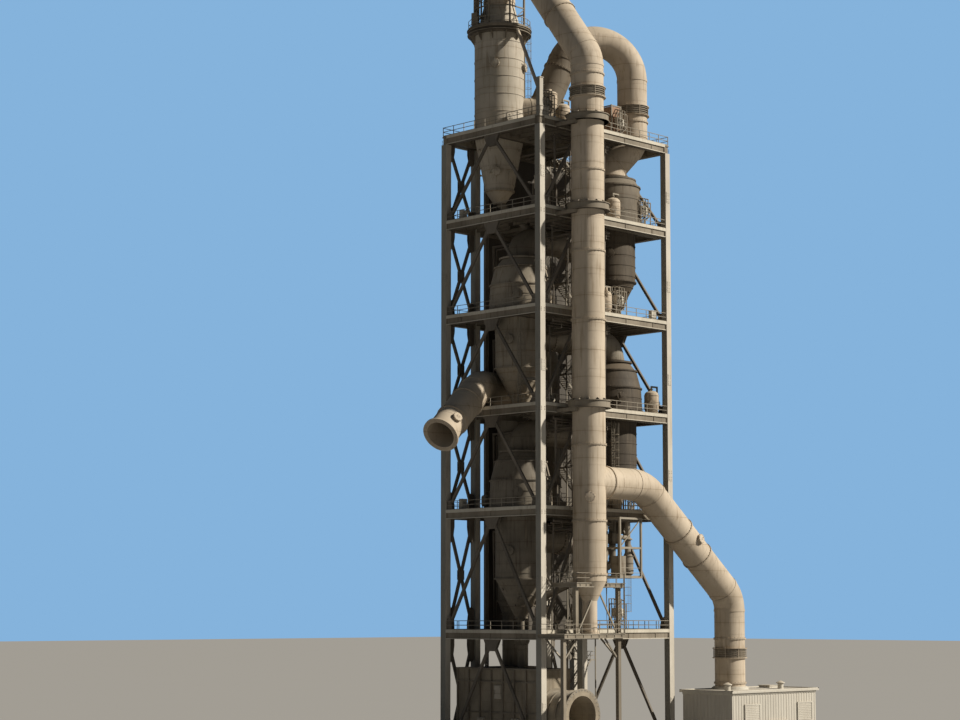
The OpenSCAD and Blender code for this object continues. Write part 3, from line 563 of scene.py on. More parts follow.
class Blank:
    """A mesh in the making, in row-frame metres."""

    def __init__(self) -> None:
        """Starts an empty mesh."""
        self.bm = bmesh.new()

    def add_mesh(self, mesh: bpy.types.Mesh) -> None:
        """Adds a finished mesh, and removes it from the file."""
        self.bm.from_mesh(mesh)
        bpy.data.meshes.remove(mesh)

    def span(self, a: Vector, b: Vector) -> None:
        """Adds a block between two opposite corners, in any order.

        Args:
            a: one corner.
            b: the other one.
        """
        self.block(Vector(map(min, a, b)), Vector(map(max, a, b)))

    def prism(self, outline: Sequence[tuple[float, float]], thick: float, at: Matrix) -> None:
        """Adds a plate: an outline in local X and Y, from Z 0 up.

        Args:
            outline: the corners in order.
            thick: the plate's thickness.
            at: the local frame in the row frame.
        """
        low = [self.bm.verts.new(at @ Vector((x, y, 0.0))) for x, y in outline]
        high = [self.bm.verts.new(at @ Vector((x, y, thick))) for x, y in outline]
        n = len(outline)
        faces = [self.bm.faces.new(low[::-1]), self.bm.faces.new(high)]
        for i in range(n):
            j = (i + 1) % n
            faces.append(self.bm.faces.new((low[i], low[j], high[j], high[i])))
        bmesh.ops.recalc_face_normals(self.bm, faces=faces)

    def block(self, low: Vector, high: Vector) -> None:
        """Adds a block along the axes, given two corners.

        Args:
            low: the corner with the lowest coordinates.
            high: the corner with the highest ones.
        """
        size = high - low
        self.prism([(0, 0), (size.x, 0), (size.x, size.y), (0, size.y)], size.z,
                   Matrix.Translation(low))

    def bar(self, a: Vector, b: Vector, section: Sequence[tuple[float, float]],
            side: Vector = Vector((0, 0, 1))) -> None:
        """Adds a bar with a given section from a to b.

        Args:
            a: the start.
            b: the end.
            section: the section's corners, along the bar's own side and up directions.
            side: which way the section's second axis points, roughly.
        """
        way = (b - a).normalized()
        across = way.cross(side)
        if across.length < 1e-6:
            across = way.cross(Vector((0, 1, 0)))
        across.normalize()
        up = across.cross(way)
        frame = Matrix((
            (across.x, up.x, -way.x, b.x), (across.y, up.y, -way.y, b.y), (across.z, up.z, -way.z, b.z),
            (0, 0, 0, 1)))
        self.prism(section, (b - a).length, frame)

    def pipe(self, path: Sequence[Vector], radius: float, sides: int = 12) -> None:
        """Adds a round bar along corner points, mitred at each corner.

        Args:
            path: the centre line.
            radius: the pipe's radius.
            sides: the number of sides.
        """
        rings = []
        guide = Vector((0, 0, 1)) if abs((path[1] - path[0]).normalized().z) < 0.9 else Vector((0, 1, 0))
        for i, point in enumerate(path):
            before = (point - path[i - 1]).normalized() if i else (path[1] - point).normalized()
            after = (path[i + 1] - point).normalized() if i < len(path) - 1 else before
            way = (before + after).normalized()
            stretch = 1.0 / max(0.35, before.dot(way))
            x = way.cross(guide).normalized()
            y = way.cross(x).normalized()
            bend = after - before
            ring = []
            for k in range(sides):
                turn = 2 * math.pi * k / sides
                arm = (x * math.cos(turn) + y * math.sin(turn)) * radius
                if bend.length > 1e-6:
                    out = (bend - way * bend.dot(way)).normalized()
                    arm += out * arm.dot(out) * (stretch - 1.0)
                ring.append(self.bm.verts.new(point + arm))
            rings.append(ring)
        faces = [self.bm.faces.new(rings[0]), self.bm.faces.new(rings[-1][::-1])]
        for low, high in zip(rings, rings[1:]):
            for k in range(sides):
                j = (k + 1) % sides
                faces.append(self.bm.faces.new((low[k], low[j], high[j], high[k])))
        bmesh.ops.recalc_face_normals(self.bm, faces=faces)

    def hoop(self, centre: Vector, way: Vector, inner: float, outer: float, thick: float,
             sides: int = 48) -> None:
        """Adds a flat ring.

        Args:
            centre: the middle of the ring's thickness.
            way: the ring's axis.
            inner: the inner radius.
            outer: the outer radius.
            thick: the length along the axis.
            sides: the number of sides.
        """
        way = way.normalized()
        x = way.orthogonal().normalized()
        y = way.cross(x)
        rings = []
        for r, h in ((inner, -0.5), (outer, -0.5), (outer, 0.5), (inner, 0.5)):
            rings.append([self.bm.verts.new(
                centre + way * (thick * h) + (x * math.cos(t) + y * math.sin(t)) * r)
                for t in (2 * math.pi * k / sides for k in range(sides))])
        faces = []
        for low, high in zip(rings, rings[1:] + rings[:1]):
            for k in range(sides):
                j = (k + 1) % sides
                faces.append(self.bm.faces.new((low[k], low[j], high[j], high[k])))
        bmesh.ops.recalc_face_normals(self.bm, faces=faces)

    def lathe(self, centre: Vector, way: Vector, profile: Sequence[tuple[float, float]],
              sides: int = 32) -> None:
        """Adds a closed turned form.

        Args:
            centre: the point on the axis that heights are counted from.
            way: the axis.
            profile: radius and height of each corner, first and last on the axis or joined by a face.
            sides: the number of sides.
        """
        way = way.normalized()
        x = way.orthogonal().normalized()
        y = way.cross(x)
        rings = [[self.bm.verts.new(centre + way * h + (x * math.cos(t) + y * math.sin(t)) * r)
                  for t in (2 * math.pi * k / sides for k in range(sides))] for r, h in profile]
        faces = [self.bm.faces.new(rings[0]), self.bm.faces.new(rings[-1][::-1])]
        for low, high in zip(rings, rings[1:]):
            for k in range(sides):
                j = (k + 1) % sides
                faces.append(self.bm.faces.new((low[k], low[j], high[j], high[k])))
        bmesh.ops.recalc_face_normals(self.bm, faces=faces)

    def mesh(self, name: str) -> bpy.types.Mesh:
        """Ends the work and returns the mesh.

        Args:
            name: the new mesh's name.

        Returns:
            The mesh.
        """
        made = bpy.data.meshes.new(name)
        self.bm.to_mesh(made)
        self.bm.free()
        return made


def dress(name: str, mesh: bpy.types.Mesh, material: bpy.types.Material,
          smooth: float = 32.0) -> bpy.types.Object:
    """Makes a mesh a piece of the tower.

    Args:
        name: the piece's name.
        mesh: its mesh, in the row frame.
        material: its finish.
        smooth: edges flatter than this many degrees are smoothed.

    Returns:
        The piece.
    """
    mesh.name = name
    mesh.materials.clear()
    mesh.materials.append(material)
    mesh.shade_smooth()
    mesh.set_sharp_from_angle(angle=math.radians(smooth))
    piece = bpy.data.objects.new(name, mesh)
    bpy.context.scene.collection.objects.link(piece)
    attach(piece, "root")
    LOG.info("%s: %d faces", name, len(mesh.polygons))
    return piece


# Geometry nodes


class Field:
    """A Geometry Nodes tree in the making."""

    def __init__(self, name: str) -> None:
        """Starts a tree with a geometry input and output.

        Args:
            name: the tree's name.
        """
        self.tree = bpy.data.node_groups.new(name, "GeometryNodeTree")
        self.tree.interface.new_socket("Geometry", in_out="INPUT", socket_type="NodeSocketGeometry")
        self.tree.interface.new_socket("Geometry", in_out="OUTPUT", socket_type="NodeSocketGeometry")
        self.entry = self.tree.nodes.new("NodeGroupInput")
        self.exit = self.tree.nodes.new("NodeGroupOutput")
        self.named: dict[str, str] = {}

    def size(self, name: str, kind: str) -> bpy.types.NodeSocket:
        """Adds a named input.

        Args:
            name: the input's name.
            kind: the socket type, such as NodeSocketFloat.

        Returns:
            The socket to link from.
        """
        made = self.tree.interface.new_socket(name, in_out="INPUT", socket_type=kind)
        self.named[name] = made.identifier
        return self.entry.outputs[name]

    def node(self, kind: str, settings: Optional[dict[str, Any]] = None,
             inputs: Optional[dict[Union[str, int], Any]] = None) -> bpy.types.Node:
        """Adds a node.

        Args:
            kind: the node's type.
            settings: its properties.
            inputs: a value or a socket for each input.

        Returns:
            The node.
        """
        made = self.tree.nodes.new(kind)
        for key, value in (settings or {}).items():
            setattr(made, key, value)
        for key, value in (inputs or {}).items():
            if isinstance(value, bpy.types.NodeSocket):
                self.tree.links.new(value, made.inputs[key])
            else:
                made.inputs[key].default_value = value
        return made

    def end(self, geometry: bpy.types.NodeSocket) -> None:
        """Ends the tree in Realize Instances and Set Material.

        Args:
            geometry: the socket that holds the finished shape.
        """
        real = self.node("GeometryNodeRealizeInstances", {}, {"Geometry": geometry})
        paint = self.node("GeometryNodeSetMaterial", {}, {
            "Geometry": real.outputs[0], "Material": self.size("Finish", "NodeSocketMaterial")})
        self.tree.links.new(paint.outputs[0], self.exit.inputs[0])

    def run(self, mesh: bpy.types.Mesh, sizes: dict[str, Any]) -> bpy.types.Mesh:
        """Runs the tree on a mesh.

        Args:
            mesh: the mesh that goes in, which is used up.
            sizes: a value for each named input.

        Returns:
            The plain mesh that comes out.
        """
        carrier = bpy.data.objects.new("carrier", mesh)
        bpy.context.scene.collection.objects.link(carrier)
        modifier = carrier.modifiers.new("field", "NODES")
        modifier.node_group = self.tree
        for key, value in sizes.items():
            modifier[self.named[key]] = value
        carrier.update_tag()
        bpy.context.view_layer.update()
        graph = bpy.context.evaluated_depsgraph_get()
        made = bpy.data.meshes.new_from_object(carrier.evaluated_get(graph))
        carrier.modifiers.clear()
        bpy.data.objects.remove(carrier)
        bpy.data.meshes.remove(mesh)
        return made


def row_field() -> Field:
    """Repeats the mesh that goes in along a line.

    Returns:
        A tree with the inputs Count, Step and Finish.
    """
    field_tree = Field("row_of_copies")
    count = field_tree.size("Count", "NodeSocketInt")
    step = field_tree.size("Step", "NodeSocketVector")
    line = field_tree.node("GeometryNodeMeshLine", {"mode": "OFFSET"}, {"Count": count, "Offset": step})
    copies = field_tree.node("GeometryNodeInstanceOnPoints", {}, {
        "Points": line.outputs[0], "Instance": field_tree.entry.outputs["Geometry"]})
    field_tree.end(copies.outputs[0])
    return field_tree


def bolt_field() -> Field:
    """Puts a hexagon bolt head, with its washer, on each point, along the point's "way".

    Returns:
        A tree with the inputs Radius, Height and Finish.
    """
    tree = Field("bolt_heads")
    radius = tree.size("Radius", "NodeSocketFloat")
    height = tree.size("Height", "NodeSocketFloat")
    head = tree.node("GeometryNodeMeshCylinder", {"fill_type": "NGON"}, {
        "Vertices": 6, "Radius": radius, "Depth": height})
    wide = tree.node("ShaderNodeMath", {"operation": "MULTIPLY"}, {0: radius, 1: 1.35})
    thin = tree.node("ShaderNodeMath", {"operation": "MULTIPLY"}, {0: height, 1: 0.35})
    washer = tree.node("GeometryNodeMeshCylinder", {"fill_type": "NGON"}, {
        "Vertices": 10, "Radius": wide.outputs[0], "Depth": thin.outputs[0]})
    lift = tree.node("ShaderNodeMath", {"operation": "MULTIPLY"}, {0: height, 1: 0.5})
    rise = tree.node("ShaderNodeCombineXYZ", {}, {"Z": lift.outputs[0]})
    raised = tree.node("GeometryNodeTransform", {}, {"Geometry": head.outputs[0], "Translation": rise.outputs[0]})
    both = tree.node("GeometryNodeJoinGeometry")
    tree.tree.links.new(raised.outputs[0], both.inputs[0])
    tree.tree.links.new(washer.outputs[0], both.inputs[0])
    way = tree.node("GeometryNodeInputNamedAttribute", {"data_type": "FLOAT_VECTOR"}, {"Name": "way"})
    turn = tree.node("FunctionNodeAlignRotationToVector", {"axis": "Z"}, {"Vector": way.outputs[0]})
    copies = tree.node("GeometryNodeInstanceOnPoints", {}, {
        "Points": tree.entry.outputs["Geometry"], "Instance": both.outputs[0], "Rotation": turn.outputs[0]})
    tree.end(copies.outputs[0])
    return tree


def hoop_field() -> Field:
    """Puts raised weld hoops round a pipe's centre line at an even spacing.

    Returns:
        A tree with the inputs Spacing, Radius, Width, Lip and Finish.
    """
    tree = Field("weld_hoops")
    spacing = tree.size("Spacing", "NodeSocketFloat")
    radius = tree.size("Radius", "NodeSocketFloat")
    width = tree.size("Width", "NodeSocketFloat")
    lip = tree.size("Lip", "NodeSocketFloat")
    line = tree.node("GeometryNodeMeshToCurve", {}, {"Mesh": tree.entry.outputs["Geometry"]})
    even = tree.node("GeometryNodeResampleCurve", {"mode": "LENGTH"}, {"Curve": line.outputs[0], "Length": spacing})
    dots = tree.node("GeometryNodeCurveToPoints", {"mode": "EVALUATED"}, {"Curve": even.outputs[0]})
    ring = tree.node("GeometryNodeCurvePrimitiveCircle", {"mode": "RADIUS"}, {"Resolution": 56, "Radius": radius})
    section = tree.node("GeometryNodeCurvePrimitiveQuadrilateral", {"mode": "RECTANGLE"}, {
        "Width": lip, "Height": width})
    hoop = tree.node("GeometryNodeCurveToMesh", {}, {"Curve": ring.outputs[0], "Profile Curve": section.outputs[0]})
    copies = tree.node("GeometryNodeInstanceOnPoints", {}, {
        "Points": dots.outputs["Points"], "Instance": hoop.outputs[0], "Rotation": dots.outputs["Rotation"]})
    tree.end(copies.outputs[0])
    return tree


class Workshop:
    """The Geometry Nodes trees and the finishes that every sub-assembly uses."""

    def __init__(self, site: "Site") -> None:
        """Builds the trees.

        Args:
            site: where the tower stands in the row frame.
        """
        self.site = site
        self.palette = Palette()
        self.rows = row_field()
        self.bolts = bolt_field()
        self.hoops = hoop_field()

    def row(self, blank: Blank, count: int, step: Vector, finish: Finish) -> bpy.types.Mesh:
        """Repeats a form along a line.

        Args:
            blank: the form in its first place.
            count: the number of copies.
            step: the way from one to the next.
            finish: the copies' finish.

        Returns:
            The mesh of all copies.
        """
        return self.rows.run(blank.mesh("form"), {
            "Count": count, "Step": step, "Finish": self.palette[finish]})

    def bolt_heads(self, places: Sequence[tuple[Vector, Vector]], radius: float, height: float,
                   finish: Finish = Finish.BOLT) -> bpy.types.Mesh:
        """Makes a bolt head at each place.

        Args:
            places: the point and the outward direction of each.
            radius: half the head's width.
            height: the head's height.
            finish: the heads' finish.

        Returns:
            The mesh of all heads.
        """
        dots = bpy.data.meshes.new("dots")
        dots.from_pydata([tuple(p) for p, _ in places], [], [])
        ways = dots.attributes.new("way", "FLOAT_VECTOR", "POINT")
        ways.data.foreach_set("vector", [c for _, w in places for c in w])
        return self.bolts.run(dots, {"Radius": radius, "Height": height, "Finish": self.palette[finish]})

    def weld_hoops(self, path: Sequence[Vector], spacing: float, radius: float, width: float, lip: float,
                   finish: Finish) -> bpy.types.Mesh:
        """Makes hoops round a pipe.

        Args:
            path: the pipe's centre line.
            spacing: the distance between hoops.
            radius: the pipe's radius.
            width: a hoop's length along the pipe.
            lip: a hoop's thickness.
            finish: the hoops' finish.

        Returns:
            The mesh of all hoops.
        """
        line = bpy.data.meshes.new("line")
        line.from_pydata([tuple(p) for p in path], [(i, i + 1) for i in range(len(path) - 1)], [])
        return self.hoops.run(line, {"Spacing": spacing, "Radius": radius, "Width": width, "Lip": lip,
                                     "Finish": self.palette[finish]})


# Where the tower stands


@dataclass(frozen=True)
class Site:
    """The tower's own measures, in metres of the model."""

    length: float = 2.160
    depth: float = 1.500
    column: float = 0.080
    beam: float = 0.050
    beam_h: float = 0.084
    deck_t: float = 0.012
    deck_edge: float = 0.034
    levels: tuple[float, ...] = (1.360, 2.720, 3.860, 4.960, 6.070, 7.080)
    front: tuple[float, ...] = (0.0, 0.660, 2.160)
    back: tuple[float, ...] = (0.0, 0.480, 1.680, 2.160)
    rail_h: float = 0.112
    origin: tuple[float, float] = (0.0, 0.0)

    def at(self, x: float, y: float, z: float) -> Vector:
        """A place on the tower, in the row frame."""
        return Vector((x + self.origin[0], y + self.origin[1], z))

    def path(self, *points: Point) -> list[Vector]:
        """Places on the tower, in the row frame."""
        return [self.at(*p) for p in points]

    def deck(self, floor: int) -> float:
        """The height of a floor's deck, 1 for the lowest."""
        return self.levels[floor - 1] + self.beam_h / 2 + self.deck_t

    def under(self, floor: int) -> float:
        """The height of the underside of a floor's beams."""
        return self.levels[floor - 1] - self.beam_h / 2

    def storey(self, floor: int) -> tuple[float, float]:
        """The clear height of the storey under a floor."""
        return (0.040 if floor == 1 else self.deck(floor - 1), self.under(floor))


# Steel frame

Corner = tuple[float, float]


def rect(w: float, h: float, x: float = 0.0, y: float = 0.0) -> list[Corner]:
    """The corners of a w by h rectangle centred on x, y."""
    return [(x - w / 2, y - h / 2), (x + w / 2, y - h / 2), (x + w / 2, y + h / 2), (x - w / 2, y + h / 2)]


def slab(at: Vector, across: Vector, up: Vector) -> Matrix:
    """The frame of a plate: its middle, and the directions of its width and height.

    Args:
        at: the middle of the plate.
        across: the direction of its width.
        up: the direction of its height.

    Returns:
        The frame, with Z out of the plate.
    """
    x, y = across.normalized(), up.normalized()
    z = x.cross(y)
    return Matrix(((x.x, y.x, z.x, at.x), (x.y, y.y, z.y, at.y), (x.z, y.z, z.z, at.z), (0, 0, 0, 1)))


def spoke(turn: float) -> Vector:
    """The level direction at a turn from X.

    Args:
        turn: the turn in radians.

    Returns:
        The direction, one metre long.
    """
    return Vector((math.cos(turn), math.sin(turn), 0))


def rim(x: Vector, y: Vector, count: int, shift: float = 0.0) -> list[Vector]:
    """Directions at an even pitch round a circle.

    Args:
        x: the circle's first direction.
        y: its second one.
        count: how many there are.
        shift: how many pitches the first one is turned from x.

    Returns:
        The directions.
    """
    turns = (2 * math.pi * (k + shift) / count for k in range(count))
    return [x * math.cos(a) + y * math.sin(a) for a in turns]


EAST, NORTH, UP = Vector((1, 0, 0)), Vector((0, 1, 0)), Vector((0, 0, 1))


@dataclass
class ColumnSteel:
    """Base plates, stiffening fins, anchor bolts and bolted splices of the columns."""

    plate: float = 0.134
    plate_t: float = 0.010
    fin_h: float = 0.060
    fin_t: float = 0.006
    splice_w: float = 0.058
    splice_l: float = 0.130
    splice_t: float = 0.004
    splice_share: float = 0.42
    anchor: float = 0.007
    bolt: float = 0.0042

    def build(self, shop: Workshop) -> None:
        """Makes the pieces.

        Args:
            shop: the trees and finishes.
        """
        site, steel = shop.site, Blank()
        anchors: list[tuple[Vector, Vector]] = []
        bolts: list[tuple[Vector, Vector]] = []
        places = [(x, 0.0) for x in site.front] + [(x, site.depth) for x in site.back]
        for x, y in places:
            self._foot(site, steel, x, y, anchors)
            for floor in range(1, 7):
                low, high = site.storey(floor)
                self._splice(site, steel, x, y, low + self.splice_share * (high - low), bolts)
        dress("column_plates", steel.mesh("p"), shop.palette[Finish.COLUMN])
        dress("anchor_bolts", shop.bolt_heads(anchors, self.anchor, 0.010), shop.palette[Finish.BOLT])
        dress("splice_bolts", shop.bolt_heads(bolts, self.bolt, 0.0036), shop.palette[Finish.COLUMN])

    def _foot(self, site: Site, steel: Blank, x: float, y: float,
              anchors: list[tuple[Vector, Vector]]) -> None:
        """Adds one base plate with its fins, and the places of its anchor bolts.

        Args:
            site: the tower's measures.
            steel: the mesh that takes the steelwork.
            x: the column's place along X.
            y: its place along Y.
            anchors: the list that takes the place and direction of each anchor bolt.
        """
        foot = 0.040
        half = self.plate / 2
        steel.block(site.at(x - half, y - half, foot), site.at(x + half, y + half, foot + self.plate_t))
        face = site.column / 2
        reach = half - face - 0.003
        for way, side in ((EAST, NORTH), (-EAST, NORTH), (NORTH, EAST), (-NORTH, EAST)):
            for shift in (-0.022, 0.022):
                base = site.at(x, y, foot + self.plate_t) + way * face + side * shift
                frame = slab(base - way.cross(UP) * (self.fin_t / 2), way, UP)
                steel.prism([(0, 0), (reach, 0), (reach, 0.008), (0.006, self.fin_h), (0, self.fin_h)],
                            self.fin_t, frame)
        for sx in (-1, 1):
            for sy in (-1, 1):
                spot = half - 0.016
                anchors.append((site.at(x + sx * spot, y + sy * spot, foot + self.plate_t), UP))

    def _splice(self, site: Site, steel: Blank, x: float, y: float, z: float,
                bolts: list[tuple[Vector, Vector]]) -> None:
        """Adds the four plates of one splice, and the places of their bolts.

        Args:
            site: the tower's measures.
            steel: the mesh that takes the steelwork.
            x: the column's place along X.
            y: its place along Y.
            z: the height of the joint.
            bolts: the list that takes the place and direction of each bolt.
        """
        for way, side in ((EAST, NORTH), (-EAST, -NORTH), (NORTH, -EAST), (-NORTH, EAST)):
            face = site.at(x, y, z) + way * (site.column / 2)
            steel.prism(rect(self.splice_w, self.splice_l), self.splice_t, slab(face, side, UP))
            for across in (-0.016, 0.016):
                for up in (-0.048, -0.022, 0.022, 0.048):
                    bolts.append((face + way * self.splice_t + side * across + UP * up, way))


@dataclass
class GirderSteel:
    """Flanges, web stiffeners, end plates and deck edge angles of the floors' edge girders."""

    flange: float = 0.011
    flange_t: float = 0.008
    stiffener_t: float = 0.005
    stiffener: float = 0.006
    pitch: float = 0.420
    end_plate: float = 0.010
    angle_h: float = 0.036
    angle_t: float = 0.0045

    def build(self, shop: Workshop) -> None:
        """Makes the pieces.

        Args:
            shop: the trees and finishes.
        """
        site, steel, edge = shop.site, Blank(), Blank()
        bolts: list[tuple[Vector, Vector]] = []
        for floor in range(1, 7):
            low = site.under(floor)
            for y, out, xs in ((0.0, -1, site.front), (site.depth, 1, site.back)):
                for x0, x1 in zip(xs, xs[1:]):
                    self._span(shop, steel, edge, bolts, (x0, y), EAST, x1 - x0, NORTH * out, low)
            for x, out in ((0.0, -1), (site.length, 1)):
                self._span(shop, steel, edge, bolts, (x, 0.0), NORTH, site.depth, EAST * out, low)
        # painted shade: the webs take the dark frame paint, the outer flanges the light edge paint
        dress("girder_webs", steel.mesh("g"), shop.palette[Finish.FRAME])
        dress("girder_flanges", edge.mesh("f"), shop.palette[Finish.EDGE])
        dress("girder_bolts", shop.bolt_heads(bolts, 0.0042, 0.0036), shop.palette[Finish.FRAME])

    def _span(self, shop: Workshop, steel: Blank, edge: Blank, bolts: list[tuple[Vector, Vector]],
              start: Corner, way: Vector, length: float, out: Vector, low: float) -> None:
        """Adds the outer face of one girder between two columns.

        Args:
            shop: the trees and finishes.
            steel: the mesh that takes the web's plates.
            edge: the mesh that takes the outer flanges and the angle along the deck's edge.
            bolts: the list that takes the bolts' places.
            start: the first column's centre.
            way: the direction to the next column.
            length: the distance to it.
            out: the outward direction.
            low: the height of the girder's underside.
        """
        site = shop.site
        half = site.column / 2
        clear = length - site.column
        for side in (out, -out):
            face = site.at(start[0], start[1], low) + way * half + side * (site.beam / 2)
            flanges = edge if side == out else steel
            for z in (0.0, site.beam_h - self.flange_t):
                a = face + UP * z
                b = a + way * clear + side * self.flange + UP * self.flange_t
                flanges.span(a, b)
            count = max(2, round(clear / self.pitch))
            first = Blank()
            a = face + UP * self.flange_t + way * (clear / count / 2 - self.stiffener_t / 2)
            b = a + way * self.stiffener_t + side * self.stiffener + UP * (site.beam_h - 2 * self.flange_t)
            first.span(a, b)
            steel.add_mesh(shop.row(first, count, way * (clear / count), Finish.FRAME))
            for end in (0.0, clear - self.end_plate):
                a = face + way * end + UP * self.flange_t
                b = a + way * self.end_plate + side * self.flange + UP * (site.beam_h - 2 * self.flange_t)
                steel.span(a, b)
        rim = site.at(start[0], start[1], low + site.beam_h + site.deck_t + 0.010) + way * half + out * site.deck_edge
        a, b = rim, rim + way * clear + out * self.angle_t - UP * self.angle_h
        edge.span(a, b)
        for s in (-1, 1):
            for up in (0.018, 0.035, 0.052):
                centre = site.at(start[0], start[1], low) + out * half + way * (0.024 * s)
                bolts.append((centre + UP * up, out))


@dataclass
class BraceSteel:
    """Gusset plates where the braces meet columns and girders."""

    leg: float = 0.115
    thick: float = 0.006
    bolt: float = 0.0045

    def build(self, shop: Workshop) -> None:
        """Makes the pieces.

        Args:
            shop: the trees and finishes.
        """
        site, steel = shop.site, Blank()
        bolts: list[tuple[Vector, Vector]] = []
        half = site.column / 2
        d, right = site.depth, site.length
        for floor in range(1, 7):
            low, high = site.storey(floor)
            if floor > 1:
                self._bay(site, steel, bolts, (half, 0.0), EAST, site.front[1] - 2 * half, low, high, "rising")
            for x0, x1 in ((site.back[0], site.back[1]), (site.back[2], site.back[3])):
                self._bay(site, steel, bolts, (x0 + half, d), EAST, x1 - x0 - 2 * half, low, high, "cross")
            for x in (0.0, right):
                self._bay(site, steel, bolts, (x, half), NORTH, d - 2 * half, low, high, "chevron")
        dress("brace_gussets", steel.mesh("g"), shop.palette[Finish.BRACE])
        dress("gusset_bolts", shop.bolt_heads(bolts, self.bolt, 0.004), shop.palette[Finish.BRACE])

    def _bay(self, site: Site, steel: Blank, bolts: list[tuple[Vector, Vector]], start: Corner, way: Vector,
             width: float, low: float, high: float, kind: str) -> None:
        """Adds the gussets of one bay, on both sides of its braces.

        Args:
            site: the tower's measures.
            steel: the mesh that takes the plates.
            bolts: the list that takes the bolts' places.
            start: the bay's first lower corner in plan.
            way: the direction along the bay.
            width: the clear width.
            low: the clear bay's foot.
            high: its head.
            kind: rising, cross or chevron.
        """
        corners = {"rising": ((0, 0), (1, 1)), "cross": ((0, 0), (1, 1), (1, 0), (0, 1)),
                   "chevron": ((0, 0), (1, 0))}[kind]
        out = way.cross(UP)
        for along_bay, up_bay in corners:
            corner = site.at(start[0], start[1], low + up_bay * (high - low)) + way * (along_bay * width)
            sx, sz = 1 - 2 * along_bay, 1 - 2 * up_bay
            steep = (high - low) / (width / 2 if kind == "chevron" else width)
            tall = min(0.34, self.leg * max(1.0, steep * 0.75))
            outline = [(0, 0), (self.leg * 0.72, 0), (self.leg * 0.72, tall * 0.30), (self.leg * 0.46, tall),
                       (0, tall * 0.86)]
            run = Vector((1.0, steep, 0)).normalized()
            for face in (1, -1):
                lift = out * (face * (0.013 + (0 if face > 0 else self.thick)))
                frame = slab(corner + lift, way * sx, UP * sz)
                thick = self.thick * (1 if frame.to_3x3().col[2].dot(out) > 0 else -1)
                if face < 0:
                    frame = slab(corner - out * 0.013, way * sx, UP * sz)
                    thick = -thick
                plate = outline if thick > 0 else outline
                steel.prism(plate, thick, frame)
                for k in range(4):
                    reach = 0.055 + 0.024 * k
                    for off in (-0.008, 0.008):
                        u = run.x * reach - run.y * off
                        v = run.y * reach + run.x * off
                        if 0.008 < u < self.leg * 0.66 and v < tall * 0.9:
                            spot = corner + way * (sx * u) + UP * (sz * v) + out * (face * (0.013 + self.thick))
                            bolts.append((spot, out * face))
        middle = site.at(start[0], start[1], 0) + way * (width / 2)
        if kind == "cross":
            for face in (1, -1):
                base = middle + UP * ((low + high) / 2) + out * (0.013 * face)
                steel.prism(rect(0.080, 0.110), self.thick * face, slab(base, way, UP))
        if kind == "chevron":
            for face in (1, -1):
                base = middle + UP * high + out * (0.013 * face)
                steel.prism([(-0.12, 0), (0.12, 0), (0.10, -0.045), (0.055, -0.13), (-0.055, -0.13),
                             (-0.10, -0.045)], self.thick * face, slab(base, way, UP))
                for s in (-1, 1):
                    for k in range(3):
                        spot = base + way * (s * (0.038 + 0.010 * k)) - UP * (0.105 - 0.028 * k)
                        bolts.append((spot + out * (self.thick * face), out * face))


# Floors

Hole = tuple[float, float, float]
STAIRWELL = (1.610, 1.080, 2.110, 1.380)


def floor_holes(floor: int) -> tuple[Hole, ...]:
    """The round holes of a floor: centre and radius on the tower.

    Args:
        floor: the floor's number, 1 for the lowest.

    Returns:
        X, Y and radius of each hole.
    """
    left, right, riser, loop = (0.400, 0.690), (1.650, 0.420), (0.860, 1.231), (1.380, 1.231)
    return {
        1: ((*left, 0.046), (*riser, 0.156)),
        2: ((*left, 0.296), (*riser, 0.211), (*loop, 0.178), (*right, 0.046)),
        3: ((*right, 0.296), (*riser, 0.211), (*loop, 0.178), (0.55, 0.66, 0.12), (0.20, 1.05, 0.26)),
        4: ((*left, 0.296), (1.38, 0.48, 0.14)),
        5: ((*right, 0.296), (0.62, 0.90, 0.15)),
        6: ((0.465, 1.090, 0.296), (1.86, 0.33, 0.24)),
    }[floor]


def clear_spans(start: float, end: float, line: float, holes: Iterable[Hole], margin: float,
                across_x: bool, box: tuple[float, float, float, float] = STAIRWELL) -> list[Corner]:
    """The parts of a straight joist that keep clear of holes and stairwell.

    Args:
        start: where the joist starts.
        end: where it ends.
        line: its place on the other axis.
        holes: the floor's round holes.
        margin: the distance kept from them.
        across_x: whether the joist runs along X.
        box: the stairwell's lowest and highest corner.

    Returns:
        The start and end of each part.
    """
    spans = [(start, end)]
    blocks: list[Corner] = []
    for hx, hy, r in holes:
        along_line, off = (hx, hy - line) if across_x else (hy, hx - line)
        reach = r + margin
        if abs(off) < reach:
            half = math.sqrt(reach * reach - off * off)
            blocks.append((along_line - half, along_line + half))
    x0, y0, x1, y1 = box
    near, far, low, high = (y0, y1, x0, x1) if across_x else (x0, x1, y0, y1)
    if near - margin < line < far + margin:
        blocks.append((low - margin, high + margin))
    for b0, b1 in blocks:
        cut: list[Corner] = []
        for s0, s1 in spans:
            if b1 <= s0 or b0 >= s1:
                cut.append((s0, s1))
            else:
                cut += [p for p in ((s0, b0), (b1, s1)) if p[1] - p[0] > 0.05]
        spans = cut
    return spans


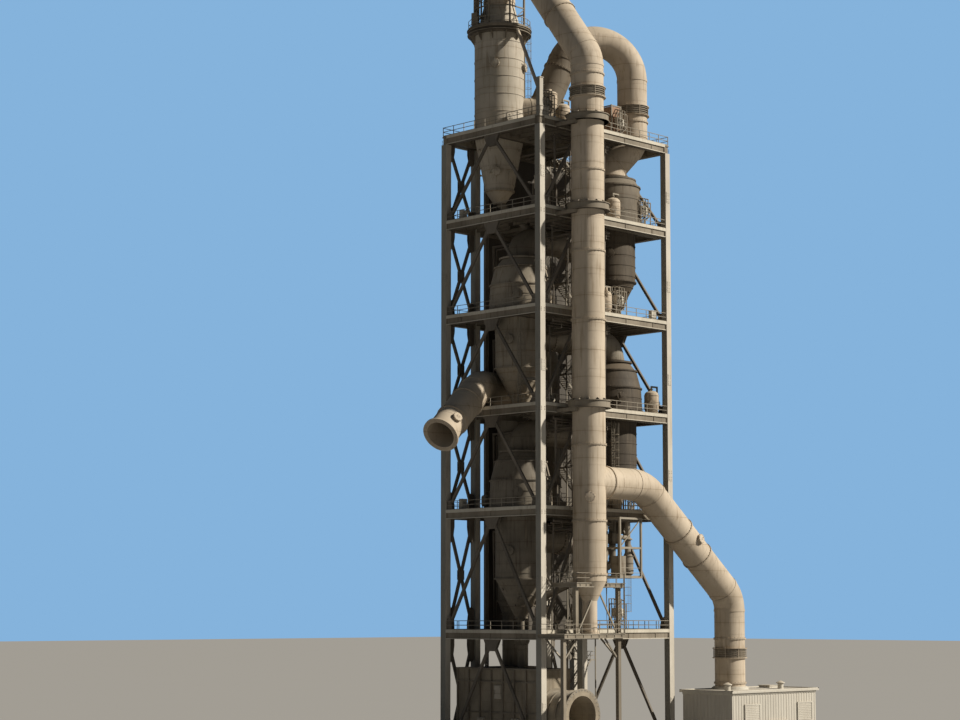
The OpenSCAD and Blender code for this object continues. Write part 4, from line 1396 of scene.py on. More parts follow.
@dataclass
class DeckSteel:
    """Joists under each deck and the plates laid on it."""

    joist_h: float = 0.048
    joist_w: float = 0.022
    joist_web: float = 0.006
    pitch: float = 0.150
    plate: float = 0.172
    seam: float = 0.004
    plate_t: float = 0.003

    def build(self, shop: Workshop) -> None:
        """Makes the pieces.

        Args:
            shop: the trees and finishes.
        """
        joists, plates = Blank(), Blank()
        for floor in range(1, 7):
            self._joists(shop.site, joists, floor)
            self._plates(shop.site, plates, floor)
        dress("floor_joists", joists.mesh("j"), shop.palette[Finish.FRAME])
        dress("deck_plates", plates.mesh("d"), shop.palette[Finish.DECK])

    def _joists(self, site: Site, steel: Blank, floor: int) -> None:
        """Adds the I-shaped joists under one deck.

        Args:
            site: the tower's measures.
            steel: the mesh that takes the steelwork.
            floor: the floor's number, 1 for the lowest.
        """
        top = site.levels[floor - 1] + site.beam_h / 2
        section = [(-self.joist_w / 2, 0), (self.joist_w / 2, 0), (self.joist_w / 2, 0.005),
                   (self.joist_web / 2, 0.005), (self.joist_web / 2, self.joist_h),
                   (-self.joist_web / 2, self.joist_h), (-self.joist_web / 2, 0.005), (-self.joist_w / 2, 0.005)]
        count = round(site.length / self.pitch)
        for k in range(1, count):
            x = site.length * k / count
            if abs(x - site.length / 2) < site.beam:
                continue
            for y0, y1 in clear_spans(0.03, site.depth - 0.03, x, floor_holes(floor), 0.012, False):
                steel.bar(site.at(x, y0, top - self.joist_h), site.at(x, y1, top - self.joist_h), section)

    def _plates(self, site: Site, steel: Blank, floor: int) -> None:
        """Lays the plates of one deck, except where something passes through.

        Args:
            site: the tower's measures.
            steel: the mesh that takes the steelwork.
            floor: the floor's number, 1 for the lowest.
        """
        z = site.deck(floor)
        nx, ny = round(site.length / self.plate), round(site.depth / self.plate)
        dx, dy = site.length / nx, site.depth / ny
        keep = 0.06 if floor < 6 else 0.075
        for i in range(nx):
            for j in range(ny):
                x0, y0 = i * dx, j * dy
                mx, my = x0 + dx / 2, y0 + dy / 2
                if any(math.hypot(max(abs(mx - hx) - dx / 2, 0), max(abs(my - hy) - dy / 2, 0)) < r + keep
                       for hx, hy, r in floor_holes(floor)):
                    continue
                if STAIRWELL[0] - dx < x0 < STAIRWELL[2] and STAIRWELL[1] - dy < y0 < STAIRWELL[3]:
                    continue
                posts = [(x, 0.0) for x in site.front] + [(x, site.depth) for x in site.back]
                if floor < 6 and any(abs(mx - px) < dx / 2 + 0.05 and abs(my - py) < dy / 2 + 0.05
                                     for px, py in posts):
                    continue
                steel.block(site.at(x0 + self.seam, y0 + self.seam, z),
                            site.at(x0 + dx - self.seam, y0 + dy - self.seam, z + self.plate_t))


@dataclass
class Staircase:
    """The dog-leg stair through the stairwells, four flights to a storey."""

    lane: float = 0.118
    gap: float = 0.020
    landing: float = 0.085
    stringer: float = 0.022
    tread_t: float = 0.004
    tread: float = 0.028
    steps: int = 14
    rail_h: float = 0.095
    rail_r: float = 0.0028

    def build(self, shop: Workshop) -> None:
        """Makes the pieces.

        Args:
            shop: the trees and finishes.
        """
        site, steel, rails = shop.site, Blank(), Blank()
        x0, y0, x1, y1 = STAIRWELL
        mid = (y0 + y1) / 2
        lanes = (mid - self.gap / 2 - self.lane, mid + self.gap / 2)
        for floor in range(1, 7):
            low = 0.0 if floor == 1 else site.deck(floor - 1)
            rise = (site.deck(floor) - low) / 4
            for k in range(4):
                up = k % 2 == 0
                start = x0 + self.landing if up else x1 - self.landing
                end = x1 - self.landing if up else x0 + self.landing
                self._flight(shop, steel, rails, start, end, lanes[k % 2], low + k * rise, rise)
                edge = (x1 - self.landing, x1) if up else (x0, x0 + self.landing)
                z = low + (k + 1) * rise
                steel.block(site.at(edge[0], lanes[0], z - 0.012), site.at(edge[1], lanes[1] + self.lane, z))
                if k < 3:
                    self._landing_rail(site, rails, edge, lanes, z, up)
            if floor < 6:
                self._posts(site, steel, lanes, low, site.deck(floor))
        self._posts(site, steel, lanes, site.deck(5), site.deck(6))
        dress("stairs", steel.mesh("s"), shop.palette[Finish.RAIL])
        dress("stair_rails", rails.mesh("r"), shop.palette[Finish.RAIL])

    def _flight(self, shop: Workshop, steel: Blank, rails: Blank, start: float, end: float, y: float,
                z: float, rise: float) -> None:
        """Adds one flight with its treads, stringers and handrails.

        Args:
            shop: the trees and finishes.
            steel: the mesh that takes treads and stringers.
            rails: the mesh that takes the handrails.
            start: where the flight starts along X.
            end: where it ends.
            y: the lane's lower side.
            z: the height of its foot.
            rise: its height.
        """
        site = shop.site
        step = Vector(((end - start) / self.steps, 0, rise / self.steps))
        first = Blank()
        half = self.tread / 2
        centre = site.at(start, y, z) + step * 0.5
        first.block(centre + Vector((-half, 0.004, -self.tread_t)), centre + Vector((half, self.lane - 0.004, 0)))
        steel.add_mesh(shop.row(first, self.steps, step, Finish.RAIL))
        for side in (0.0, self.lane - 0.004):
            a, b = site.at(start, y + side, z - 0.006), site.at(end, y + side, z + rise - 0.006)
            if z < self.stringer:  # the lowest flight stops short of the ground, on shoes
                a = a.lerp(b, self.stringer / rise)
                steel.block(site.at(start - 0.006, y + side, 0.0), site.at(start + 0.030, y + side + 0.004, 0.018))
            steel.bar(a + NORTH * 0.002, b + NORTH * 0.002, rect(0.004, self.stringer))
            top = UP * self.rail_h
            rails.pipe([a + top, b + top], self.rail_r, 6)
            rails.pipe([a + top * 0.5, b + top * 0.5], self.rail_r * 0.8, 6)
            for share in (0.04, 0.35, 0.65, 0.96):
                foot = a.lerp(b, share)
                rails.pipe([foot, foot + top], self.rail_r, 6)

    def _landing_rail(self, site: Site, rails: Blank, edge: Corner, lanes: Corner, z: float, far: bool) -> None:
        """Adds the handrail round one landing.

        Args:
            site: the tower's measures.
            rails: the mesh that takes the handrails.
            edge: the landing's two ends along X.
            lanes: the lower sides of the two lanes along Y.
            z: the landing's height.
            far: whether it is the landing at the far end.
        """
        outer = edge[1] if far else edge[0]
        inner = edge[0] if far else edge[1]
        y0, y1 = lanes[0], lanes[1] + self.lane
        for up in (self.rail_h, self.rail_h / 2):
            rails.pipe(site.path((inner, y0, z + up), (outer, y0, z + up), (outer, y1, z + up),
                                 (inner, y1, z + up)), self.rail_r, 6)
        for y in (y0, (y0 + y1) / 2, y1):
            rails.pipe(site.path((outer, y, z), (outer, y, z + self.rail_h)), self.rail_r, 6)

    def _posts(self, site: Site, steel: Blank, lanes: Corner, low: float, high: float) -> None:
        """Adds the corner posts that carry the landings of one storey.

        Args:
            site: the tower's measures.
            steel: the mesh that takes the steelwork.
            lanes: the lower sides of the two lanes along Y.
            low: the foot of the posts.
            high: the deck above them.
        """
        x0, _, x1, _ = STAIRWELL
        for x in (x0 + 0.006, x1 - 0.006):
            for y in (lanes[0], lanes[1] + self.lane):
                steel.bar(site.at(x, y, low), site.at(x, y, high - 0.012), rect(0.012, 0.012), NORTH)


@dataclass
class FloorGear:
    """What stands and hangs on the floors: cabinets, cable ladders, pipe risers and blasting tanks."""

    cabinet: Point = (0.085, 0.045, 0.120)
    riser_r: float = 0.011
    tray: float = 0.050

    def build(self, shop: Workshop) -> None:
        """Makes the pieces.

        Args:
            shop: the trees and finishes.
        """
        self._cabinets(shop)
        self._cable_ladder(shop)
        self._risers(shop)
        self._tanks(shop)

    def _cabinets(self, shop: Workshop) -> None:
        """Stands control cabinets beside the front left column on each floor.

        Args:
            shop: the trees and finishes.
        """
        site, sheet = shop.site, Blank()
        w, d, h = self.cabinet
        spots = [(0.085, 0.02, f) for f in range(2, 7)] + [(1.95, 0.05, f) for f in (2, 4)] + \
            [(0.06, 1.30, f) for f in (2, 5)]
        for x, y, floor in spots:
            z = site.deck(floor) + 0.012
            sheet.block(site.at(x, y, z), site.at(x + w, y + d, z + h))
            sheet.block(site.at(x - 0.004, y - 0.004, z + h), site.at(x + w + 0.004, y + d + 0.004, z + h + 0.004))
            for k in (0.0, 0.5):
                sheet.block(site.at(x + 0.004 + k * w, y - 0.003, z + 0.006),
                            site.at(x + k * w + w / 2 - 0.002, y, z + h - 0.006))
            sheet.block(site.at(x + w / 2 - 0.012, y - 0.007, z + h * 0.48),
                        site.at(x + w / 2 - 0.008, y - 0.002, z + h * 0.60))
            sheet.block(site.at(x + 0.006, y + 0.006, z - 0.012), site.at(x + w - 0.006, y + d - 0.006, z))
        dress("control_cabinets", sheet.mesh("c"), shop.palette[Finish.CABINET])

    def _cable_ladder(self, shop: Workshop) -> None:
        """Runs a cable ladder up inside the left face, with its cables.

        Args:
            shop: the trees and finishes.
        """
        site, steel, cables = shop.site, Blank(), Blank()
        x, y, top = 0.560, 1.42, site.levels[5] - 0.08
        for side in (0.0, self.tray):
            steel.bar(site.at(x + side, y, 0.04), site.at(x + side, y, top), rect(0.003, 0.014), NORTH)
        rung = Blank()
        rung.block(site.at(x, y - 0.002, 0.07), site.at(x + self.tray, y + 0.002, 0.074))
        steel.add_mesh(shop.row(rung, 170, UP * ((top - 0.08) / 170), Finish.RAIL))
        for k in range(5):
            cx = x + 0.007 + 0.009 * k
            cables.pipe(site.path((cx, y - 0.005, 0.05), (cx, y - 0.005, top - 0.02 * k)), 0.0032, 6)
        dress("cable_ladder", steel.mesh("l"), shop.palette[Finish.RAIL])
        dress("cables", cables.mesh("c"), shop.palette[Finish.BRACE])

    def _risers(self, shop: Workshop) -> None:
        """Runs water and air pipes up beside the second front column, with a branch on each floor.

        Args:
            shop: the trees and finishes.
        """
        site, pipes = shop.site, Blank()
        for k, (x, y) in enumerate(((0.745, 0.062), (0.745, 0.094), (0.790, 0.062))):
            top = site.deck(6) + 0.10
            pipes.pipe(site.path((x, y, 0.0), (x, y, top), (x + 0.10, y, top)),
                       self.riser_r - 0.002 * k, 10)
            for floor in range(1, 7):
                z = site.deck(floor) + 0.09
                reach = 0.09
                pipes.pipe(site.path((x, y, z), (x + reach, y, z), (x + reach, y, z - 0.05)), 0.006, 8)
                pipes.hoop(site.at(x, y, z - 0.03), UP, 0.004, self.riser_r + 0.006, 0.006, 12)
        dress("pipe_risers", pipes.mesh("p"), shop.palette[Finish.RAIL])

    def _tanks(self, shop: Workshop) -> None:
        """Stands the cleaning air tanks beside the vessels, with their outlet pipes.

        Args:
            shop: the trees and finishes.
        """
        site, steel = shop.site, Blank()
        spots = ((0.98, 0.20, 2), (0.30, 1.16, 2), (1.16, 0.20, 3), (1.15, 0.95, 3), (1.02, 0.20, 4),
                 (1.08, 1.12, 4), (0.98, 0.30, 5), (1.18, 0.98, 5), (1.20, 0.42, 6), (1.12, 1.10, 6))
        for x, y, floor in spots:
            z = site.deck(floor)
            centre = site.at(x, y, z + 0.05)
            steel.lathe(centre, UP, [(0.004, -0.006), (0.030, 0.0), (0.045, 0.016), (0.045, 0.11),
                                     (0.030, 0.128), (0.004, 0.134)], 20)
            for turn in range(3):
                a = 2 * math.pi * turn / 3
                foot = centre + spoke(a) * 0.036
                steel.bar(foot + UP * 0.02, foot - UP * 0.05, rect(0.008, 0.008), NORTH)
            steel.pipe([centre + UP * 0.13, centre + UP * 0.17, centre + UP * 0.17 + EAST * 0.09,
                        centre + EAST * 0.09 - UP * 0.05], 0.007, 8)
        dress("air_tanks", steel.mesh("t"), shop.palette[Finish.RAIL])


# Vessels


def filleted(points: Sequence[Point], bends: Sequence[float], step: float = 0.05) -> list[Point]:
    """A pipe's centre line with its corners rounded.

    Args:
        points: the corner points.
        bends: the bend radius at each inner corner.
        step: the distance between points on a bend.

    Returns:
        The points of the smooth line.
    """
    line = [Vector(points[0])]
    for i, radius in enumerate(bends, start=1):
        a, b, c = (Vector(points[j]) for j in (i - 1, i, i + 1))
        u, v = (b - a).normalized(), (c - b).normalized()
        turn = math.acos(max(-1.0, min(1.0, u.dot(v))))
        cut = radius * math.tan(turn / 2)
        inward = (v - u * u.dot(v)).normalized()
        hub = b - u * cut + inward * radius
        count = max(3, math.ceil(radius * turn / step))
        for k in range(count + 1):
            angle = turn * k / count
            line.append(hub - inward * (radius * math.cos(angle)) + u * (radius * math.sin(angle)))
    line.append(Vector(points[-1]))
    return [tuple(p) for p in line]


@dataclass
class Vessel:
    """One cyclone or the calciner: its axis and its outer profile."""

    name: str
    axis: Corner
    profile: tuple[Corner, ...]
    ring_pitch: float = 0.262
    doors: tuple[Corner, ...] = ()
    skip: tuple[Corner, ...] = ()

    def radius(self, z: float) -> float:
        """The outer radius at a height.

        Args:
            z: the height.

        Returns:
            The radius there.
        """
        for (r0, z0), (r1, z1) in zip(self.profile, self.profile[1:]):
            if z0 <= z <= z1:
                return r0 + (r1 - r0) * (z - z0) / (z1 - z0) if z1 > z0 else r1
        return self.profile[-1][0]

    def slope(self, z: float) -> float:
        """How fast the radius grows with height.

        Args:
            z: the height.

        Returns:
            The growth for each metre, 0 above the top.
        """
        for (r0, z0), (r1, z1) in zip(self.profile, self.profile[1:]):
            if z0 <= z < z1:
                return (r1 - r0) / (z1 - z0)
        return 0.0

    def spot(self, site: Site, z: float, turn: float) -> tuple[Vector, Vector]:
        """A point on the shell and the way out of it.

        Args:
            site: the tower's measures.
            z: the height.
            turn: the direction round the axis, in degrees from X.

        Returns:
            The point and the outward direction.
        """
        a = math.radians(turn)
        out = spoke(a)
        normal = (out - UP * self.slope(z)).normalized()
        return site.at(*self.axis, z) + out * self.radius(z), normal


LEFT, RIGHT, TOP, RISER = (0.400, 0.690), (1.650, 0.420), (0.465, 1.090), (0.860, 1.2305)


def crossing(site: Site, floor: int) -> float:
    """The height of the level duct over the vessel that stands on a floor."""
    return site.under(floor + 1) - 0.160


def roof_head(site: Site, floor: int) -> float:
    """The top of the roof that stands on a floor."""
    return site.deck(5) + 0.600 if floor == 5 else crossing(site, floor) - 0.2205


def body_profile(site: Site, floor: int, clear: float) -> tuple[Corner, ...]:
    """The cone and barrel that hang from a floor, with the tip clear of the deck below."""
    tip = site.deck(floor - 1) + clear
    return (0.070, tip), (0.290, tip + 0.429), (0.290, site.under(floor) - 0.005)


def roof_profile(site: Site, floor: int) -> tuple[Corner, ...]:
    """The shouldered roof that stands on a floor.

    Args:
        site: the tower's measures.
        floor: the floor's number, 1 for the lowest.

    Returns:
        Radius and height of each corner, from the foot up.
    """
    neck, upright, shoulder = (0.202, 0.78, 0.94) if floor == 5 else (0.200, 0.45, 0.80)
    foot, head, wide = site.deck(floor) + 0.040, roof_head(site, floor), 0.360
    tall, inset = head - foot, wide - neck
    return ((wide, foot), (wide - inset * 0.08, foot + tall * upright),
            (wide - inset * 0.42, foot + tall * shoulder), (neck, head))


def vessels(site: Site) -> tuple[Vessel, ...]:
    """The five cyclones and the calciner.

    Args:
        site: the tower's measures.

    Returns:
        The vessels, the top one first.
    """
    deck = site.deck(6)
    calciner_top = site.under(4) - 0.460
    made = [Vessel("cyclone_1", TOP, ((0.070, 6.350), (0.165, 6.4925), (0.290, deck), (0.290, 8.440)), 0.215,
                   ((6.70, 215.0), (7.30, 250.0), (7.95, 215.0), (7.95, 300.0)),
                   ((deck - 0.09, deck + 0.07), (8.32, 8.44)))]
    for number, axis, floor, clear, door in ((2, RIGHT, 5, 0.030, 250.0), (3, LEFT, 4, 0.030, 230.0),
                                             (4, RIGHT, 3, 0.060, 250.0), (5, LEFT, 2, 0.150, 230.0)):
        body, roof = body_profile(site, floor, clear), roof_profile(site, floor)
        tip, foot = body[0][1], roof[0][1]
        made.append(Vessel(f"cyclone_{number}_body", axis, body, 0.130,
                           ((tip + 0.20, door), (tip + 0.74, door - 30.0))))
        made.append(Vessel(f"cyclone_{number}_roof", axis, roof, 0.140, ((foot + 0.14, door - 10.0),)))
    made.append(Vessel("calciner", RISER, ((0.150, 1.000), (0.150, 1.600), (0.205, 1.750),
                                           (0.205, calciner_top - 0.060)), 0.240,
                       ((1.30, 270.0), (2.10, 235.0), (3.20, 235.0)),
                       ((site.under(2) - 0.02, site.deck(2) + 0.02), (site.under(3) - 0.02, site.deck(3) + 0.02),
                        (3.94, 4.42))))
    return tuple(made)


def vessel_finish(name: str) -> Finish:
    """The paint of a vessel: the plain vessel paint on the top one, and darker copies below as painted shade, darkest
    in the right bay.

    Args:
        name: the vessel's name.

    Returns:
        Its finish.
    """
    paints = {"cyclone_1": Finish.VESSEL, "cyclone_2_roof": Finish.SMOKED, "cyclone_2_body": Finish.SOOTED,
              "cyclone_3": Finish.DUSTED, "cyclone_4": Finish.SOOTED}
    return next((paint for stem, paint in paints.items() if name.startswith(stem)), Finish.INNER)


@dataclass
class VesselFittings:
    """Stiffening rings, bolted joints, doors and poke holes on the vessels."""

    ring_w: float = 0.006
    ring_h: float = 0.005
    door_r: float = 0.042
    door_h: float = 0.020
    door_bolts: int = 8
    joint_lip: float = 0.014
    joint_gap: float = 0.0045
    joint_bolts: int = 36
    poke_r: float = 0.012

    def build(self, shop: Workshop) -> None:
        """Makes the pieces.

        Args:
            shop: the trees and finishes.
        """
        site, bolts = shop.site, []
        for vessel in vessels(site):
            shell = Blank()
            self._rings(site, shell, vessel, bolts)
            for z, turn in vessel.doors:
                self._door(site, shell, vessel, z, turn, bolts)
            self._pokes(site, shell, vessel)
            dress(vessel.name + "_fittings", shell.mesh("f"), shop.palette[vessel_finish(vessel.name)])
        dress("vessel_bolts", shop.bolt_heads(bolts, 0.0040, 0.004), shop.palette[Finish.INNER])

    def _rings(self, site: Site, shell: Blank, vessel: Vessel, bolts: list[tuple[Vector, Vector]]) -> None:
        """Adds stiffening rings at an even pitch, and a bolted joint at each change of the profile.

        Args:
            site: the tower's measures.
            shell: the mesh that takes the fittings.
            vessel: the vessel that they go round.
            bolts: the list that takes the place and direction of each bolt.
        """
        z0, z1 = vessel.profile[0][1], vessel.profile[-1][1]
        count = max(2, round((z1 - z0) / vessel.ring_pitch))
        joints = [z for _, z in vessel.profile[1:-1]]
        for k in range(1, count):
            z = z0 + (z1 - z0) * k / count
            if any(abs(z - j) < 0.06 for j in joints) or any(a < z < b for a, b in vessel.skip):
                continue
            r = vessel.radius(z)
            shell.hoop(site.at(*vessel.axis, z), UP, r - 0.02, r + self.ring_h, self.ring_w, 56)
        for z in joints:
            if any(a < z < b for a, b in vessel.skip):
                continue
            r = vessel.radius(z)
            for lift in (-self.joint_gap, self.joint_gap):
                shell.hoop(site.at(*vessel.axis, z + lift), UP, r - 0.02, r + self.joint_lip, 0.007, 56)
            for k in range(self.joint_bolts):
                a = 2 * math.pi * k / self.joint_bolts
                out = spoke(a) * (r + 0.008)
                bolts.append((site.at(*vessel.axis, z + 0.008) + out, UP))

    def _door(self, site: Site, shell: Blank, vessel: Vessel, z: float, turn: float,
              bolts: list[tuple[Vector, Vector]]) -> None:
        """Adds a round access door with its frame, clamps and davit.

        Args:
            site: the tower's measures.
            shell: the mesh that takes the fittings.
            vessel: the vessel that it opens.
            z: the height of the door's middle.
            turn: its direction from the axis, in degrees.
            bolts: the list that takes the place and direction of each bolt.
        """
        at, out = vessel.spot(site, z, turn)
        r, h = self.door_r, self.door_h
        shell.lathe(at - out * 0.02, out, [(r, 0.0), (r, 0.02 + h), (r + 0.012, 0.02 + h),
                                           (r + 0.012, 0.026 + h), (r + 0.010, 0.034 + h),
                                           (r * 0.55, 0.038 + h), (0.004, 0.039 + h)], 28)
        side = out.cross(UP).normalized()
        up = side.cross(out)
        for way in rim(side, up, self.door_bolts, 0.5):
            bolts.append((at + out * (0.012 + h) + way * (r + 0.006), out))
        knob = at + out * (h + 0.016)
        shell.pipe([knob - side * 0.014, knob - side * 0.014 + out * 0.012, knob + side * 0.014 + out * 0.012,
                    knob + side * 0.014], 0.0022, 6)
        arm = at + side * (r + 0.02)
        shell.pipe([arm - out * 0.01, arm + out * (h + 0.03), arm + out * (h + 0.03) + up * (r + 0.03),
                    at + out * (h + 0.03) + up * (r + 0.03), at + out * (h + 0.03) + up * 0.01], 0.0035, 8)

    def _pokes(self, site: Site, shell: Blank, vessel: Vessel) -> None:
        """Adds capped poke holes on the cone, two rows round it.

        Args:
            site: the tower's measures.
            shell: the mesh that takes the fittings.
            vessel: the vessel with the cone.
        """
        cone = [(a, b) for a, b in zip(vessel.profile, vessel.profile[1:]) if b[0] > a[0] + 0.1]
        if not cone:
            return
        (_, z0), (_, z1) = cone[0]
        for share, shift in ((0.30, 0.0), (0.72, 30.0)):
            z = z0 + share * (z1 - z0)
            for k in range(6):
                at, out = vessel.spot(site, z, 60.0 * k + shift + 15.0)
                tilt = (out + UP * 0.35).normalized()
                shell.lathe(at - tilt * 0.01, tilt, [(self.poke_r * 0.7, 0.0), (self.poke_r * 0.7, 0.022),
                                                     (self.poke_r, 0.022), (self.poke_r, 0.030),
                                                     (self.poke_r * 0.4, 0.033)], 12)


def caged_ladder(shop: Workshop, rails: Blank, foot: Vector, height: float,
                 out: Vector = Vector((0.786, -0.618, 0))) -> None:
    """Adds a ladder with its safety cage.

    Args:
        shop: the trees and finishes.
        rails: the mesh that takes it.
        foot: the middle of its lowest rung.
        height: its height.
        out: the direction that its cage bulges in.
    """
    side = out.cross(UP)
    for s in (-1, 1):
        a = foot + side * (0.022 * s)
        rails.bar(a, a + UP * (height + 0.10), rect(0.004, 0.010), out)
    rung = Blank()
    rung.pipe([foot - side * 0.022 + UP * 0.03, foot + side * 0.022 + UP * 0.03], 0.0018, 6)
    rails.add_mesh(shop.row(rung, int(height / 0.03), UP * 0.03, Finish.RAIL))
    hoop = [foot + UP * 0.24 + side * (0.040 * math.sin(a)) + out * (0.040 - 0.040 * math.cos(a))
            for a in (math.radians(t) for t in range(45, 316, 30))]
    cage = Blank()
    cage.pipe(hoop, 0.0022, 5)
    rails.add_mesh(shop.row(cage, int((height - 0.2) / 0.09), UP * 0.09, Finish.RAIL))
    for t in (90, 135, 180, 225, 270):
        a = math.radians(t)
        strip = foot + side * (0.040 * math.sin(a)) + out * (0.040 - 0.040 * math.cos(a))
        rails.pipe([strip + UP * 0.24, strip + UP * (height + 0.08)], 0.0016, 5)


@dataclass
class TopDeckGear:
    """What stands on the top deck: ring platform rails, ladder, corner mast, valve house and the neck's frame."""

    rail_h: float = 0.112
    rail_r: float = 0.0034
    mast: float = 0.056
    mast_h: float = 0.430
    house: tuple[float, float, float, float, float] = (1.400, 0.170, 1.560, 0.330, 0.380)
    ring_r: float = 0.365
    ring_top: float = 8.395
    ring_posts: int = 20
    cage_z: float = 8.405
    cage_r: float = 0.315
    cage_h: float = 0.50
    neck_pipes: int = 5
    neck_turn: float = 138.0
    neck_step: float = 12.0
    neck_reach: float = 0.272

    def build(self, shop: Workshop) -> None:
        """Makes the pieces.

        Args:
            shop: the trees and finishes.
        """
        site, rails, steel = shop.site, Blank(), Blank()
        reach, z, count = self.ring_r, self.ring_top, self.ring_posts
        ring = [spoke(a) * reach for a in
                (2 * math.pi * k / count for k in range(count))]
        base = site.at(*TOP, z)
        for up in (self.rail_h, self.rail_h / 2):
            rails.pipe([base + p + UP * up for p in ring + ring[:1]], self.rail_r, 6)
        for p in ring:
            rails.pipe([base + p, base + p + UP * self.rail_h], self.rail_r, 6)
        for k in range(12):
            a = 2 * math.pi * k / 12
            out = spoke(a)
            foot = site.at(*TOP, 8.25) + out * 0.288
            frame = slab(foot + out.cross(UP) * 0.003, out, UP)
            steel.prism([(0, 0), (0.012, 0), (0.070, 0.085), (0, 0.085)], 0.006, frame)
        for lift, outer, thick in ((0.004, reach + 0.016, 0.008), (-0.046, reach + 0.010, 0.010)):
            steel.hoop(base + UP * lift, UP, reach - 0.03, outer, thick, 56)
        caged_ladder(shop, rails, site.at(0.70, 0.905, site.deck(6)), 1.26)
        self._mast(shop)
        self._neck_cage(shop)
        self._house(shop)
        dress("ring_rails", rails.mesh("r"), shop.palette[Finish.RAIL])
        dress("ring_brackets", steel.mesh("b"), shop.palette[Finish.FRAME])

    def _mast(self, shop: Workshop) -> None:
        """Stands the corner mast that carries the feed pipe, with its base plate, cleats and head.

        Args:
            shop: the trees and finishes.
        """
        site, steel = shop.site, Blank()
        foot, half = site.at(0.0, 0.0, site.deck(6)), self.mast / 2
        steel.block(foot + Vector((-half, -half, 0.0)), foot + Vector((half, half, self.mast_h)))
        steel.block(foot + Vector((-0.034, -0.034, 0.0)), foot + Vector((0.060, 0.060, 0.010)))
        steel.block(foot + Vector((-half - 0.006, -half - 0.006, self.mast_h)),
                    foot + Vector((half + 0.006, half + 0.006, self.mast_h + 0.008)))
        for way in (EAST, NORTH):
            edge = foot + way * half + UP * 0.010 - way.cross(UP) * 0.003
            steel.prism([(0, 0), (0.030, 0), (0.004, 0.070), (0, 0.070)], 0.006, slab(edge, way, UP))
        for z in (0.12, 0.20, 0.28, 0.36):
            steel.pipe([foot + Vector((half, -0.018, z)), foot + Vector((half + 0.030, -0.018, z)),
                        foot + Vector((half + 0.030, 0.018, z)), foot + Vector((half, 0.018, z))], 0.003, 6)
        dress("corner_mast", steel.mesh("m"), shop.palette[Finish.COLUMN])

    def _neck_cage(self, shop: Workshop) -> None:
        """Stands a frame of posts and rails round the top cyclone's neck, on its ring platform.

        Args:
            shop: the trees and finishes.
        """
        site, steel = shop.site, Blank()
        base, reach = site.at(*TOP, self.cage_z), self.cage_r
        for k in range(8):
            a = 2 * math.pi * (k + 0.5) / 8
            b = 2 * math.pi * (k + 1.5) / 8
            p = base + spoke(a) * reach
            q = base + spoke(b) * reach
            steel.bar(p, p + UP * self.cage_h, rect(0.016, 0.016), NORTH)
            for z in (0.24, 0.49):
                steel.bar(p + UP * z, q + UP * z, rect(0.010, 0.014))
            if k % 2:
                steel.bar(p + UP * 0.02, q + UP * 0.23, rect(0.007, 0.007))
        self._neck_pipes(steel, base)
        dress("neck_cage", steel.mesh("n"), shop.palette[Finish.FRAME])

    def _neck_pipes(self, steel: Blank, base: Vector) -> None:
        """Adds the pipes that rise beside the neck from the ring platform, with their clamps and a valve box.

        Args:
            steel: the mesh that takes the steelwork.
            base: the middle of the ring platform.
        """
        feet = []
        for k in range(self.neck_pipes):
            a = math.radians(self.neck_turn + self.neck_step * k)
            foot = base + spoke(a) * self.neck_reach
            feet.append(foot)
            steel.pipe([foot, foot + UP * (0.40 + 0.03 * (k % 2)), foot * 0.965 + base * 0.035 + UP * 0.452],
                       0.011, 10)
            for z in (0.12, 0.30):
                steel.hoop(foot + UP * z, UP, 0.008, 0.018, 0.008, 14)
        for z in (0.16, 0.34):
            steel.bar(feet[0] + UP * z, feet[-1] + UP * z, rect(0.008, 0.016))
        a = feet[2] - Vector((0.045, 0.0, 0.0)) + UP * 0.03
        steel.block(a - Vector((0.030, 0.045, 0.0)), a + Vector((0.0, 0.045, 0.150)))

    def _house(self, shop: Workshop) -> None:
        """Stands the rusty valve house on the top deck, with its frame, door, louvre and pipe.

        Args:
            shop: the trees and finishes.
        """
        site, shell, steel = shop.site, Blank(), Blank()
        x0, y0, x1, y1, h = self.house
        z = site.deck(6) + 0.004
        shell.block(site.at(x0, y0, z + 0.03), site.at(x1, y1, z + h))
        shell.block(site.at(x0 + 0.02, y0 - 0.006, z + 0.05), site.at(x1 - 0.07, y0, z + 0.26))
        slat = Blank()
        slat.block(site.at(x0 - 0.006, y0 + 0.02, z + 0.12), site.at(x0, y1 - 0.02, z + 0.128))
        shell.add_mesh(shop.row(slat, 10, UP * 0.018, Finish.RUSTED))
        for x in (x0, x1):
            for y in (y0, y1):
                steel.bar(site.at(x, y, z), site.at(x, y, z + h + 0.02), rect(0.014, 0.014), NORTH)
        for up in (0.03, h + 0.01):
            for y in (y0, y1):
                steel.bar(site.at(x0, y, z + up), site.at(x1, y, z + up), rect(0.012, 0.012))
            for x in (x0, x1):
                steel.bar(site.at(x, y0, z + up), site.at(x, y1, z + up), rect(0.012, 0.012))
        shell.pipe(site.path(((x0 + x1) / 2, y1, z + 0.20), ((x0 + x1) / 2, y1 + 0.10, z + 0.20),
                             ((x0 + x1) / 2, y1 + 0.10, z)), 0.020, 14)
        dress("valve_house", shell.mesh("v"), shop.palette[Finish.RUSTED])
        dress("valve_house_frame", steel.mesh("f"), shop.palette[Finish.RAIL])


# Ducts


